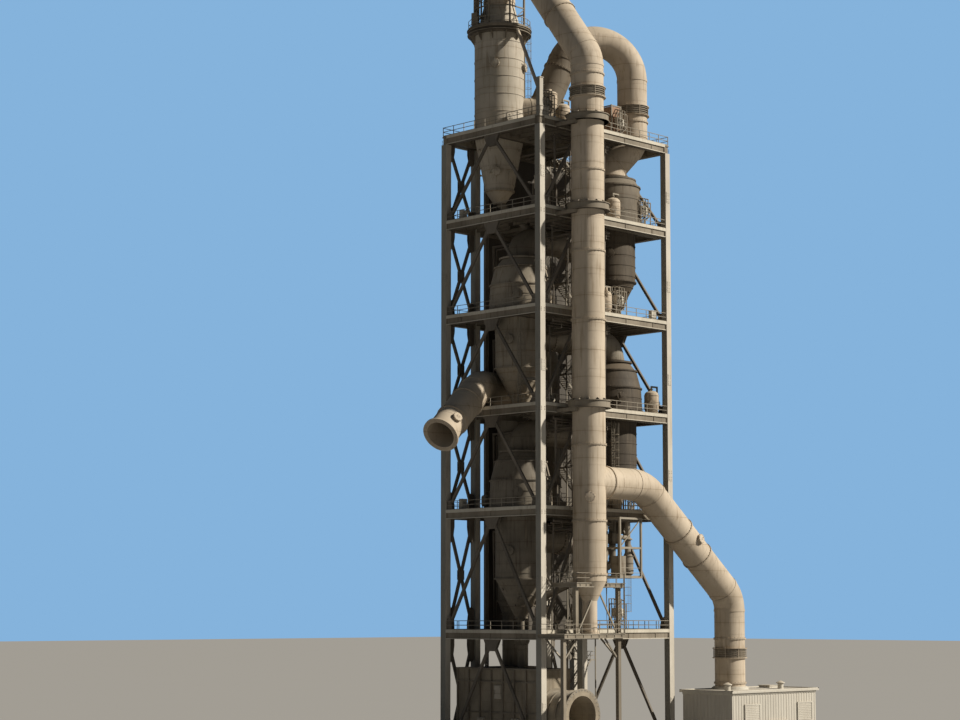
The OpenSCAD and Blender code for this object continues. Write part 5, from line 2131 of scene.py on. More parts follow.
@dataclass
class DuctRun:
    """One duct: its centre line, radius, bolted joints and the stretches hidden in other pieces."""

    name: str
    radius: float
    points: tuple[Point, ...]
    bends: tuple[float, ...] = ()
    joints: tuple[tuple[int, float], ...] = ()
    bellows: tuple[tuple[int, float], ...] = ()
    doors: tuple[tuple[int, float, Point], ...] = ()
    hoop_pitch: float = 0.205

    def on(self, leg: int, share: float) -> tuple[Point, Vector]:
        """A point on a straight leg and the leg's direction.

        Args:
            leg: the leg's number, from 0.
            share: how far along it.

        Returns:
            The place on the tower and the direction.
        """
        a, b = Vector(self.points[leg]), Vector(self.points[leg + 1])
        return tuple(a.lerp(b, share)), (b - a).normalized()


def ducts(site: Site) -> tuple[DuctRun, ...]:
    """The tower's ducts, as the frame has them.

    Args:
        site: the tower's measures.

    Returns:
        The ducts.
    """
    down, goose_low = (0.465, -0.295), 7.829
    runs = [
        DuctRun("gooseneck", 0.184, ((*TOP, 8.690), (*TOP, 9.735), (*down, goose_low), (*down, 7.671)),
                (0.320, 0.300), ((1, 0.36), (1, 0.70)), (), ((1, 0.55, (0.8, 0.0, 0.6)),)),
        DuctRun("downcomer", 0.184, ((*down, 1.960), (*down, 7.671)), (),
                ((0, 0.012), (0, 0.115), (0, 0.262), (0, 0.505), (0, 0.640), (0, 0.800), (0, 0.992)),
                ((0, 0.955),), ((0, 0.16, (-0.7, -0.7, 0.0)), (0, 0.56, (0.7, -0.7, 0.0)))),
    ]
    head, leg = roof_head(site, 5), (1.920, 0.300)
    runs.append(DuctRun("arch", 0.177, ((*RIGHT, head), (*RIGHT, head + 0.110), (*leg, site.deck(6) + 0.030),
                                        (*leg, 10.152), (0.912, 0.847, 7.450), (*TOP, 7.450)),
                        (0.200, 0.200, 0.452, 0.221), ((2, 0.085), (3, 0.80)), ((2, 0.13),)))
    for name, start, floor, end in (("transfer_32", LEFT, 4, RIGHT), ("transfer_43", RIGHT, 3, LEFT),
                                    ("transfer_54", LEFT, 2, RIGHT)):
        z = crossing(site, floor)
        runs.append(DuctRun(name, 0.150, ((*start, roof_head(site, floor)), (*start, z), (*end, z)), (0.1905,),
                            ((1, 0.22), (1, 0.68)), ((1, 0.50),)))
    high, low, fall = site.under(4) - 0.182, site.under(2) - 0.210, 1.380
    runs.append(DuctRun("calciner_loop", 0.172, ((*RISER, high - 0.278), (*RISER, high), (fall, RISER[1], high),
                                                 (fall, RISER[1], low), (fall, LEFT[1], low),
                                                 (LEFT[0] + 0.290, LEFT[1], low)),
                        (0.238, 0.238, 0.201, 0.201), ((2, 0.20), (2, 0.45), (2, 0.86), (4, 0.60)), ((2, 0.70),)))
    runs.append(DuctRun("tertiary_air", 0.180, ((-0.760, 0.796, 3.558), (0.066, 1.018, 4.180),
                                                (0.655, 1.176, 4.180)), (0.301,),
                        ((0, 0.30), (0, 0.66)), (), ((0, 0.18, (-0.2, -0.9, 0.35)),)))
    runs.append(DuctRun("exhaust", 0.178, ((0.649, down[1], 3.050), (1.360, down[1], 3.050),
                                           (2.910, down[1], 1.795), (2.910, down[1], 0.745)), (0.516, 0.320),
                        ((0, 0.10), (1, 0.40), (1, 0.62), (2, 0.46), (2, 0.95)), ((2, 0.62),),
                        ((1, 0.5, (0.0, -0.9, 0.3)),)))
    return tuple(runs)


# painted shade: the transfer and calciner ducts take the shaded inner copy, and the tertiary and arch ducts are
# darkened along part of their length
DUCT_FINISH: dict[str, Finish] = {
    "transfer_": Finish.INNER,
    "calciner_": Finish.INNER,
    "tertiary_": Finish.SHELTERED,
    "arch": Finish.ARCH,
}


@dataclass
class DuctFittings:
    """Weld hoops, bolted flanges, bellows and doors on the ducts."""

    hoop_w: float = 0.005
    hoop_lip: float = 0.0025
    flange_lip: float = 0.012
    flange_t: float = 0.007
    flange_bolts: int = 28
    bellows_half: float = 0.055
    folds: int = 4
    fold_pitch: float = 0.024
    tie_rods: int = 8
    door_r: float = 0.044
    door_bolts: int = 10

    def build(self, shop: Workshop) -> None:
        """Makes the pieces.

        Args:
            shop: the trees and finishes.
        """
        site = shop.site
        bolts: list[tuple[Vector, Vector]] = []
        dark = Blank()
        for duct in ducts(site):
            shell = Blank()
            line = filleted(duct.points, duct.bends)
            paint = next((f for stem, f in DUCT_FINISH.items() if duct.name.startswith(stem)), Finish.DUCT)
            shell.add_mesh(shop.weld_hoops(site.path(*line), duct.hoop_pitch, duct.radius, self.hoop_w,
                                           self.hoop_lip, paint))
            for leg, share in duct.joints:
                self._joint(site, shell, duct, leg, share, bolts)
            for leg, share in duct.bellows:
                self._bellows(site, shell, dark, duct, leg, share)
            for leg, share, out in duct.doors:
                self._door(site, shell, duct, leg, share, Vector(out), bolts)
            dress(duct.name + "_fittings", shell.mesh("f"), shop.palette[paint])
        dress("bellows", dark.mesh("b"), shop.palette[Finish.FRAME])
        dress("flange_bolts", shop.bolt_heads(bolts, 0.0045, 0.005), shop.palette[Finish.DUCT])

    def _joint(self, site: Site, shell: Blank, duct: DuctRun, leg: int, share: float,
               bolts: list[tuple[Vector, Vector]]) -> None:
        """Adds a pair of flanges with bolts round them.

        Args:
            site: the tower's measures.
            shell: the mesh that takes the fittings.
            duct: the duct that carries it.
            leg: the number of the duct's straight length.
            share: how far along that length it sits, from 0 to 1.
            bolts: the list that takes the place and direction of each bolt.
        """
        place, way = duct.on(leg, share)
        centre = site.at(*place)
        r = duct.radius
        for s in (-1, 1):
            shell.hoop(centre + way * (s * (self.flange_t / 2 + 0.001)), way, r - 0.004, r + self.flange_lip,
                       self.flange_t, 56)
        x = way.orthogonal().normalized()
        for spot in rim(x, way.cross(x), self.flange_bolts):
            out = spot * (r + self.flange_lip * 0.6)
            for s in (-1, 1):
                bolts.append((centre + out + way * (s * (self.flange_t + 0.001)), way * s))

    def _bellows(self, site: Site, shell: Blank, dark: Blank, duct: DuctRun, leg: int, share: float) -> None:
        """Adds an expansion joint: folds between two flanges, with tie rods across them.

        Args:
            site: the tower's measures.
            shell: the mesh that takes the fittings.
            dark: the mesh that takes the folds.
            duct: the duct that carries it.
            leg: the number of the duct's straight length.
            share: how far along that length it sits, from 0 to 1.
        """
        place, way = duct.on(leg, share)
        centre = site.at(*place)
        r, half, folds = duct.radius, self.bellows_half, self.folds
        for k in range(folds):
            spot = centre + way * ((k - (folds - 1) / 2) * self.fold_pitch)
            dark.hoop(spot, way, r - 0.003, r + 0.016, 0.008, 48)
            dark.hoop(spot, way, r - 0.003, r + 0.008, 0.016, 48)
        for s in (-1, 1):
            shell.hoop(centre + way * (half * s), way, r - 0.003, r + 0.026, 0.008, 56)
        x = way.orthogonal().normalized()
        for side in rim(x, way.cross(x), self.tie_rods, 0.5):
            out = side * (r + 0.020)
            shell.pipe([centre + out - way * (half + 0.014), centre + out + way * (half + 0.014)], 0.003, 6)

    def _door(self, site: Site, shell: Blank, duct: DuctRun, leg: int, share: float, out: Vector,
              bolts: list[tuple[Vector, Vector]]) -> None:
        """Adds an access door on the side of a duct.

        Args:
            site: the tower's measures.
            shell: the mesh that takes the fittings.
            duct: the duct that carries it.
            leg: the number of the duct's straight length.
            share: how far along that length it sits, from 0 to 1.
            out: the direction that the door faces.
            bolts: the list that takes the place and direction of each bolt.
        """
        place, way = duct.on(leg, share)
        out = (out - way * out.dot(way)).normalized()
        at = site.at(*place) + out * duct.radius
        side = out.cross(way).normalized()
        r = self.door_r
        shell.lathe(at - out * 0.03, out, [(r, 0.0), (r, 0.046), (r + 0.012, 0.046), (r + 0.012, 0.053),
                                           (r + 0.010, 0.060), (r * 0.5, 0.064), (0.004, 0.065)], 28)
        for spot in rim(side, way, self.door_bolts):
            bolts.append((at + out * 0.029 + spot * (r + 0.006), out))
        shell.pipe([at + out * 0.034 - side * 0.015, at + out * 0.048 - side * 0.015,
                    at + out * 0.048 + side * 0.015, at + out * 0.034 + side * 0.015], 0.0022, 6)


@dataclass
class CollarSteel:
    """Gussets, bolts and seats of the collars that hang the downcomer on the frame."""

    levels: tuple[float, ...] = (3.860, 6.070, 7.080)
    radius: float = 0.238
    height: float = 0.080
    fins: int = 12

    def build(self, shop: Workshop) -> None:
        """Makes the pieces.

        Args:
            shop: the trees and finishes.
        """
        site, steel = shop.site, Blank()
        bolts: list[tuple[Vector, Vector]] = []
        axis = (0.465, -0.295)
        for z in self.levels:
            for lift in (0.0, self.height - 0.008):
                steel.hoop(site.at(*axis, z + lift + 0.004), UP, 0.19, self.radius + 0.012, 0.008, 56)
            for k in range(self.fins):
                a = 2 * math.pi * (k + 0.5) / self.fins
                out = spoke(a)
                foot = site.at(*axis, z + self.height) + out * 0.184 + out.cross(UP) * 0.003
                steel.prism([(0, 0), (0.046, 0), (0.046, 0.006), (0.006, 0.030), (0, 0.030)], 0.006,
                            slab(foot, out, UP))
            for k in range(24):
                a = 2 * math.pi * k / 24
                out = spoke(a) * (self.radius - 0.010)
                bolts.append((site.at(*axis, z + self.height) + out, UP))
        dress("collar_fins", steel.mesh("c"), shop.palette[Finish.FRAME])
        dress("collar_bolts", shop.bolt_heads(bolts, 0.0045, 0.005), shop.palette[Finish.FRAME])


@dataclass
class MealPipeGear:
    """Flap valves with counterweights, and flanges, on the meal pipes."""

    pipe_r: float = 0.040

    def runs(self, site: Site) -> tuple[tuple[Point, Point, float], ...]:
        """The start and end of each pipe, and the place of its valve along it.

        Args:
            site: the tower's measures.

        Returns:
            Start, end and the share along it where the valve sits, for each pipe.
        """
        tips = [body_profile(site, floor, clear)[0][1] for floor, clear in
                ((5, 0.030), (4, 0.030), (3, 0.060), (2, 0.150))]
        return (((*TOP, 6.350), (0.725, 0.620, crossing(site, 4)), 0.34),
                ((*RIGHT, tips[0]), (1.231, 0.510, crossing(site, 3)), 0.36),
                ((*LEFT, tips[1]), (0.819, 0.600, crossing(site, 2)), 0.36),
                ((*RIGHT, tips[2]), (*RIGHT, site.under(2) - 0.502), 0.55),
                ((*LEFT, tips[3]), (*LEFT, 1.000), 0.42))

    def build(self, shop: Workshop) -> None:
        """Makes the pieces.

        Args:
            shop: the trees and finishes.
        """
        site, steel = shop.site, Blank()
        for start, end, share in self.runs(site):
            a, b = site.at(*start), site.at(*end)
            way = (b - a).normalized()
            centre = a.lerp(b, share)
            side = way.cross(UP) if abs(way.z) < 0.95 else NORTH
            side = side.normalized()
            steel.bar(centre - way * 0.050, centre + way * 0.050, rect(0.112, 0.104), side)
            for s in (-1, 1):
                steel.bar(centre + way * (s * 0.056 - 0.005), centre + way * (s * 0.056 + 0.005),
                          rect(0.128, 0.120), side)
                steel.hoop(centre + way * (s * 0.075), way, self.pipe_r - 0.004, self.pipe_r + 0.018, 0.008, 28)
            shaft = side.cross(way).normalized()
            for s in (-1, 1):
                steel.pipe([centre, centre + shaft * (0.085 * s)], 0.009, 10)
                steel.hoop(centre + shaft * (0.062 * s), shaft, 0.0, 0.020, 0.014, 18)
            arm = centre + shaft * 0.080
            reach = (way * -0.4 + side).normalized() * 0.115
            steel.bar(arm, arm + reach, rect(0.006, 0.014), shaft)
            steel.hoop(arm + reach * 0.82, shaft, 0.001, 0.026, 0.024, 22)
            steel.pipe([arm + reach, arm + reach * 1.02 - UP * 0.05], 0.003, 6)
        dress("flap_valves", steel.mesh("v"), shop.palette[Finish.INNER])
# Equipment on the decks


@dataclass(frozen=True)
class Spot:
    """Where a piece of equipment stands: its floor and its place on the tower."""

    floor: int
    x: float
    y: float
    turn: float = 0.0

    def frame(self, site: Site) -> Matrix:
        """The equipment's own frame, standing on the deck."""
        return Matrix.Translation(site.at(self.x, self.y, site.deck(self.floor))) @ \
            Matrix.Rotation(math.radians(self.turn), 4, "Z")


class Rig:
    """Adds forms to a mesh in a piece of equipment's own frame."""

    def __init__(self, blank: Blank, frame: Matrix) -> None:
        """Takes the mesh and the frame.

        Args:
            blank: the mesh that takes the forms.
            frame: the equipment's frame in the row frame.
        """
        self.blank = blank
        self.frame = frame
        self.turn = frame.to_3x3()

    def at(self, x: float, y: float, z: float) -> Vector:
        """A place in the row frame."""
        return self.frame @ Vector((x, y, z))

    def way(self, x: float, y: float, z: float) -> Vector:
        """A direction in the row frame."""
        return self.turn @ Vector((x, y, z))

    def box(self, x0: float, y0: float, z0: float, x1: float, y1: float, z1: float) -> None:
        """Adds a block."""
        self.blank.prism([(x0, y0), (x1, y0), (x1, y1), (x0, y1)], z1 - z0,
                         self.frame @ Matrix.Translation((0, 0, z0)))

    def pipe(self, points: Sequence[Point], radius: float, sides: int = 10) -> None:
        """Adds a round bar along corner points."""
        self.blank.pipe([self.at(*p) for p in points], radius, sides)

    def turned(self, x: float, y: float, z: float, profile: Sequence[Corner], sides: int = 28,
               way: Point = (0.0, 0.0, 1.0)) -> None:
        """Adds a turned form."""
        self.blank.lathe(self.at(x, y, z), self.way(*way), profile, sides)

    def ring(self, x: float, y: float, z: float, inner: float, outer: float, thick: float, sides: int = 28,
             way: Point = (0.0, 0.0, 1.0)) -> None:
        """Adds a flat ring."""
        self.blank.hoop(self.at(x, y, z), self.way(*way), inner, outer, thick, sides)

    def strut(self, a: Point, b: Point, size: float) -> None:
        """Adds a square bar."""
        self.blank.bar(self.at(*a), self.at(*b), rect(size, size), self.way(0.3, 0.9, 0.1))


@dataclass
class DeckEquipment:
    """Hoppers, tanks, blowers, racks and caged ladders on the decks beside the vessels."""

    hoppers: tuple[Spot, ...] = (Spot(5, 0.235, 0.175), Spot(6, 0.50, 0.33), Spot(3, 1.90, 0.93), Spot(1, 1.02, 0.34))
    tanks: tuple[Spot, ...] = (Spot(4, 0.205, 0.150), Spot(2, 0.190, 0.130), Spot(4, 1.20, 0.12),
                               Spot(3, 2.02, 0.12), Spot(1, 0.19, 0.16), Spot(5, 1.37, 0.13), Spot(2, 1.36, 0.12),
                               Spot(6, 0.66, 0.26))
    blowers: tuple[Spot, ...] = (Spot(3, 0.30, 0.16, 20.0), Spot(6, 1.02, 0.22, 0.0), Spot(2, 1.16, 0.20, 90.0),
                                 Spot(6, 1.30, 0.95, 180.0), Spot(4, 1.06, 0.86, 90.0))
    racks: tuple[Spot, ...] = (Spot(6, 0.24, 0.13), Spot(6, 1.52, 0.16), Spot(5, 1.04, 0.22), Spot(4, 1.42, 0.10),
                               Spot(3, 1.18, 0.24), Spot(2, 1.62, 0.09), Spot(5, 1.86, 0.10), Spot(1, 1.40, 0.12))
    ladders: tuple[Spot, ...] = (Spot(5, 1.18, 1.05), Spot(3, 0.10, 0.42), Spot(2, 1.30, 0.09))

    def build(self, shop: Workshop) -> None:
        """Makes the pieces.

        Args:
            shop: the trees and finishes.
        """
        site = shop.site
        steel, vessel, pale, pipes = Blank(), Blank(), Blank(), Blank()
        kinds = ((self.hoppers, self._hopper, (steel, vessel)),
                 (self.tanks, self._tank, (steel, vessel, pipes)),
                 (self.blowers, self._blower, (steel, pale, pipes)),
                 (self.racks, self._rack, (steel, pale, pipes)))
        for spots, make, blanks in kinds:
            for spot in spots:
                make(*(Rig(blank, spot.frame(site)) for blank in blanks))
        for spot in self.ladders:
            caged_ladder(shop, pipes, site.at(spot.x, spot.y, site.deck(spot.floor)),
                         site.under(spot.floor + 1) - site.deck(spot.floor) - 0.12, Vector((0.0, -1.0, 0.0)))
        dress("equipment_steel", steel.mesh("s"), shop.palette[Finish.FRAME])
        dress("equipment_shells", vessel.mesh("v"), shop.palette[Finish.DUCT])
        dress("equipment_housings", pale.mesh("h"), shop.palette[Finish.CABINET])
        dress("equipment_pipes", pipes.mesh("p"), shop.palette[Finish.RAIL])

    @staticmethod
    def _hopper(steel: Rig, shell: Rig) -> None:
        """A conical hopper on four legs, with a valve under it and a filter on top.

        Args:
            steel: what takes the legs.
            shell: what takes the hopper.
        """
        shell.turned(0, 0, 0.10, [(0.022, 0.0), (0.030, 0.01), (0.098, 0.15), (0.098, 0.29), (0.088, 0.305),
                                  (0.034, 0.320), (0.034, 0.345), (0.004, 0.350)], 36)
        for z in (0.262, 0.33, 0.385):
            shell.ring(0, 0, z, 0.09, 0.104, 0.007, 36)
        shell.ring(0, 0, 0.106, 0.018, 0.036, 0.008, 20)
        shell.box(-0.030, -0.030, 0.045, 0.030, 0.030, 0.098)
        shell.pipe([(0, 0, 0.05), (0, 0, -0.002)], 0.020, 14)
        shell.pipe([(0.0, -0.03, 0.072), (0.0, -0.075, 0.072)], 0.014, 14)
        leg, foot = 0.078, 0.016
        for x in (-leg, leg):
            for y in (-leg, leg):
                steel.strut((x, y, 0.0), (x, y, 0.30), 0.012)
                steel.box(x - foot, y - foot, 0.0, x + foot, y + foot, 0.006)
        for z in (0.10, 0.262):
            for s in (-leg, leg):
                steel.strut((-leg, s, z), (leg, s, z), 0.010)
                steel.strut((s, -leg, z), (s, leg, z), 0.010)
        for s in (-leg, leg):
            steel.strut((-leg, s, 0.105), (leg, s, 0.255), 0.006)
            steel.strut((s, leg, 0.105), (s, -leg, 0.255), 0.006)

    @staticmethod
    def _tank(steel: Rig, shell: Rig, pipes: Rig) -> None:
        """A dished air tank on a skirt, with its manhole, flanged outlet and ladder rail.

        Args:
            steel: what takes the skirt.
            shell: what takes the tank.
            pipes: what takes the pipes.
        """
        shell.turned(0, 0, 0.03, [(0.080, 0.0), (0.080, 0.04), (0.086, 0.05), (0.086, 0.205), (0.078, 0.232),
                                  (0.055, 0.252), (0.022, 0.262), (0.004, 0.263)], 36)
        for z in (0.075, 0.155, 0.232):
            shell.ring(0, 0, z, 0.08, 0.090, 0.005, 36)
        steel.ring(0, 0, 0.005, 0.06, 0.100, 0.010, 32)
        for k in range(6):
            foot = spoke(math.pi * k / 3) * 0.072
            steel.strut((foot.x, foot.y, 0.0), (foot.x, foot.y, 0.05), 0.012)
        shell.turned(-0.055, -0.055, 0.14, [(0.026, 0.0), (0.026, 0.044), (0.034, 0.044), (0.034, 0.056),
                                            (0.006, 0.058)], 20, (-0.7, -0.7, 0.0))
        pipes.pipe([(0, 0, 0.28), (0, 0, 0.34), (0.10, 0, 0.34), (0.10, 0, 0.02)], 0.011, 12)
        for z in (0.31, 0.20, 0.10):
            pipes.ring(0.10 if z < 0.31 else 0.0, 0, z, 0.008, 0.021, 0.008, 16)
        pipes.box(0.085, -0.014, 0.14, 0.115, 0.014, 0.168)
        pipes.ring(0.10, -0.030, 0.154, 0.012, 0.017, 0.004, 16, (0.0, 1.0, 0.0))

    @staticmethod
    def _blower(steel: Rig, pale: Rig, pipes: Rig) -> None:
        """A blower with its motor, base frame and rising pipe.

        Args:
            steel: what takes the base frame.
            pale: what takes blower and motor.
            pipes: what takes the pipes.
        """
        steel.box(-0.13, -0.055, 0.0, 0.13, -0.040, 0.024)
        steel.box(-0.13, 0.040, 0.0, 0.13, 0.055, 0.024)
        for x in (-0.12, 0.0, 0.11):
            steel.box(x, -0.055, 0.004, x + 0.012, 0.055, 0.022)
        pale.turned(-0.07, -0.030, 0.085, [(0.050, 0.0), (0.062, 0.004), (0.062, 0.050), (0.050, 0.056)], 30,
                    (0.0, 1.0, 0.0))
        pale.box(-0.095, -0.026, 0.022, -0.045, 0.022, 0.06)
        pale.turned(0.015, 0, 0.070, [(0.014, -0.05), (0.014, 0.0), (0.036, 0.002), (0.036, 0.080), (0.030, 0.086),
                                      (0.030, 0.100), (0.008, 0.104)], 20, (1.0, 0.0, 0.0))
        for k in range(7):
            pale.ring(0.024 + 0.010 * k, 0, 0.070, 0.03, 0.040, 0.003, 20, (1.0, 0.0, 0.0))
        pale.box(0.028, -0.020, 0.100, 0.068, 0.020, 0.122)
        steel.box(0.025, -0.036, 0.020, 0.090, 0.036, 0.036)
        pipes.pipe([(-0.07, 0.0, 0.13), (-0.07, 0.0, 0.26), (-0.07, 0.12, 0.30), (-0.07, 0.24, 0.30)], 0.018, 14)
        for z in (0.15, 0.21):
            pipes.ring(-0.07, 0, z, 0.012, 0.028, 0.008, 20)
        pipes.pipe([(-0.07, -0.03, 0.085), (-0.07, -0.085, 0.085)], 0.024, 18)
        pipes.ring(-0.07, -0.085, 0.085, 0.018, 0.032, 0.010, 20, (0.0, 1.0, 0.0))

    @staticmethod
    def _rack(steel: Rig, pale: Rig, pipes: Rig) -> None:
        """A frame of posts with a valve box, a small drum and bent pipes on it.

        Args:
            steel: what takes the frame.
            pale: what takes box and drum.
            pipes: what takes the pipes.
        """
        w, d, h = 0.085, 0.05, 0.30
        for x in (-w, w):
            for y in (-d, d):
                steel.strut((x, y, 0.0), (x, y, h), 0.010)
        for z in (0.15, h):
            steel.strut((-w, -d, z), (w, -d, z), 0.010)
            steel.strut((-w, d, z), (w, d, z), 0.010)
            for x in (-w, w):
                steel.strut((x, -d, z), (x, d, z), 0.010)
        steel.strut((-w, -d, 0.01), (w, -d, 0.145), 0.006)
        pale.box(-0.070, -0.040, 0.158, 0.010, 0.035, 0.255)
        pale.box(-0.066, -0.044, 0.164, -0.030, -0.040, 0.249)
        pale.box(-0.028, -0.044, 0.164, 0.006, -0.040, 0.249)
        pale.turned(0.048, 0.0, 0.158, [(0.020, 0.0), (0.030, 0.006), (0.030, 0.080), (0.018, 0.094),
                                        (0.004, 0.097)], 20)
        for k in range(3):
            x = -0.05 + 0.045 * k
            pipes.pipe([(x, 0.0, 0.004), (x, 0.0, 0.10), (x, -0.055, 0.12), (x, -0.055, 0.335), (x, 0.02, 0.36),
                        (x, 0.09, 0.36), (x, 0.09, 0.02)], 0.0065, 10)
            pipes.ring(x, -0.055, 0.22, 0.004, 0.014, 0.006, 14)
            pipes.ring(x, -0.074, 0.18, 0.009, 0.013, 0.003, 14, (0.0, 1.0, 0.0))
            pipes.pipe([(x, -0.055, 0.18), (x, -0.074, 0.18)], 0.003, 6)


@dataclass
class StoreyPiping:
    """Process pipes of the storeys: headers under each floor, drops beside the vessels, and their hangers."""

    radii: tuple[float, ...] = (0.016, 0.011, 0.008)

    def build(self, shop: Workshop) -> None:
        """Makes the pieces.

        Args:
            shop: the trees and finishes.
        """
        site, pipes, hangers = shop.site, Blank(), Blank()
        for floor in range(2, 7):
            top, low = site.under(floor), site.deck(floor - 1)
            for k, r in enumerate(self.radii):
                y, z = 0.090 + 0.042 * k, top - 0.050 - 0.024 * k
                end = 1.24 + 0.05 * k
                pipes.pipe(site.path((0.30, y, z), (end, y, z), (end, y + 0.06, z),
                                     (end, y + 0.06, low + 0.004)), r, 10)
                start = 0.34 + 0.30 * ((floor + k) % 3)
                pipes.pipe(site.path((start, y, z), (start, y, low + 0.30), (start + 0.06, y + 0.04, low + 0.24),
                                     (start + 0.06, y + 0.04, low + 0.004)), r * 0.85, 10)
                pipes.hoop(site.at(start, y, (z + low) / 2), UP, r * 0.6, r * 1.9, 0.010, 16)
            for k, r in enumerate(self.radii[:2]):
                x, z = 0.640 + 0.045 * k, top - 0.13 - 0.03 * k
                pipes.pipe(site.path((x, 0.12, z), (x, 1.36, z), (x, 1.36, low + 0.004)), r, 10)
            for x in (0.42, 0.80, 1.18):
                for y in (0.07, 0.195):
                    hangers.bar(site.at(x, y, top), site.at(x, y, top - 0.125), rect(0.006, 0.006), NORTH)
                hangers.bar(site.at(x, 0.066, top - 0.125), site.at(x, 0.199, top - 0.125), rect(0.010, 0.010), UP)
        dress("storey_pipes", pipes.mesh("p"), shop.palette[Finish.BRACE])
        dress("pipe_hangers", hangers.mesh("h"), shop.palette[Finish.BRACE])




# Hopper platforms, kiln inlet and fan house


@dataclass
class HopperPlatformGear:
    """Railings, bracing, ladder and beam flanges of the platforms under the downcomer."""

    rail_h: float = 0.105
    rail_r: float = 0.0032
    low: tuple[float, float, float, float, float] = (-0.080, -0.420, 0.900, -0.034, 1.385)
    high: tuple[float, float, float, float, float] = (0.120, -0.420, 0.900, -0.036, 1.940)
    edge: float = 0.008
    edge_drop: float = 0.042
    ribs: int = 8
    post_y: float = -0.360
    posts: tuple[tuple[Corner, float, float], ...] = (((-0.036, 0.856), 0.05, 1.335),
                                                      ((0.164, 0.856), 1.385, 1.890))
    shoe: float = 0.036
    balcony: tuple[float, float, float, float, float] = (1.030, 1.390, -0.240, -0.040, 2.000)

    def build(self, shop: Workshop) -> None:
        """Makes the pieces.

        Args:
            shop: the trees and finishes.
        """
        site, rails, steel = shop.site, Blank(), Blank()
        for x0, y0, x1, y1, z in (self.low, self.high):
            corners = site.path((x0, y1, z), (x0, y0, z), (x1, y0, z), (x1, y1, z))
            self._railing(rails, corners)
            edge, drop = self.edge, self.edge_drop
            for up in (0.0, -drop):
                steel.block(site.at(x0 - edge, y0 - edge, z + up - 0.008), site.at(x1 + edge, y0, z + up))
                steel.block(site.at(x0 - edge, y0, z + up - 0.008), site.at(x0, y1, z + up))
                steel.block(site.at(x1, y0, z + up - 0.008), site.at(x1 + edge, y1, z + up))
            rib = Blank()
            rib.block(site.at(x0 + 0.05, y0 - 0.007, z - drop), site.at(x0 + 0.055, y0, z - edge))
            steel.add_mesh(shop.row(rib, self.ribs, EAST * ((x1 - x0 - 0.1) / (self.ribs - 1)), Finish.FRAME))
        y, shoe = self.post_y, self.shoe
        for xs, z0, z1 in self.posts:
            a, b = xs
            wide = rect(0.016, 0.016)
            mid = (a + b) / 2
            if z0 > 1.0:
                steel.bar(site.at(a + 0.02, y, z0), site.at(mid, y, z1), wide, NORTH)
                steel.bar(site.at(b - 0.02, y, z0), site.at(mid, y, z1), wide, NORTH)
            else:
                for x, s in ((a, 1), (b, -1)):
                    steel.bar(site.at(x, y, z1 - 0.24), site.at(x + 0.22 * s, y, z1 - 0.004), wide, NORTH)
                    steel.bar(site.at(x, y, z1 - 0.24), site.at(x, -0.10, z1 - 0.004), wide, EAST)
            for x in xs:
                for z in (z0, z1 - 0.010):
                    steel.block(site.at(x - shoe, y - shoe, z), site.at(x + shoe, y + shoe, z + 0.010))
        caged_ladder(shop, rails, site.at(0.875, -0.435, 1.385), 0.56)
        dress("platform_rails", rails.mesh("r"), shop.palette[Finish.RAIL])
        dress("platform_steel", steel.mesh("s"), shop.palette[Finish.RAIL])
        self._balcony(shop)

    def _balcony(self, shop: Workshop) -> None:
        """Hangs the valve balcony beside the upper platform from the second floor's girder.

        Args:
            shop: the trees and finishes.
        """
        site, steel, gear = shop.site, Blank(), Blank()
        x0, x1, y0, y1, z0 = self.balcony
        z1 = site.under(2) + 0.004
        for x in (x0, x1):
            for y in (y0, y1):
                steel.bar(site.at(x, y, z0), site.at(x, y, z1), rect(0.022, 0.022), NORTH)
            for z in (z0 + 0.011, z0 + 0.34, z1 - 0.011):
                steel.bar(site.at(x, y0, z), site.at(x, y1, z), rect(0.018, 0.022))
        for y in (y0, y1):
            for z in (z0 + 0.011, z0 + 0.34, z1 - 0.011):
                steel.bar(site.at(x0, y, z), site.at(x1, y, z), rect(0.018, 0.022))
        for up in (0.060, 0.115):
            steel.pipe(site.path((x0, y0, z0 + up), (x1, y0, z0 + up)), 0.0035, 6)
        steel.bar(site.at(x0 + 0.01, y0, z0 + 0.35), site.at(x1 - 0.01, y0, z1 - 0.02), rect(0.010, 0.010))
        plank = Blank()
        plank.block(site.at(x0, y0 + 0.012, z0 + 0.022), site.at(x1, y0 + 0.026, z0 + 0.030))
        steel.add_mesh(shop.row(plank, 9, NORTH * 0.020, Finish.RAIL))
        gear.block(site.at(x0 + 0.05, y0 + 0.06, z0 + 0.030), site.at(x0 + 0.17, y1 - 0.02, z0 + 0.25))
        gear.lathe(site.at(x1 - 0.11, (y0 + y1) / 2, z0 + 0.030), UP, [
            (0.030, 0.0), (0.062, 0.02), (0.062, 0.20), (0.034, 0.26), (0.034, 0.40), (0.052, 0.402),
            (0.052, 0.414), (0.030, 0.43), (0.030, 0.60), (0.004, 0.605)], 26)
        for z in (0.09, 0.17, 0.25):
            gear.hoop(site.at(x1 - 0.11, (y0 + y1) / 2, z0 + z), UP, 0.03, 0.068, 0.006, 26)
        gear.pipe(site.path((x0 + 0.11, -0.14, z0 + 0.25), (x0 + 0.11, -0.14, z0 + 0.46),
                            (x1 - 0.11, -0.14, z0 + 0.46)), 0.024, 14)
        dress("balcony_frame", steel.mesh("b"), shop.palette[Finish.RAIL])
        dress("balcony_valves", gear.mesh("g"), shop.palette[Finish.INNER])

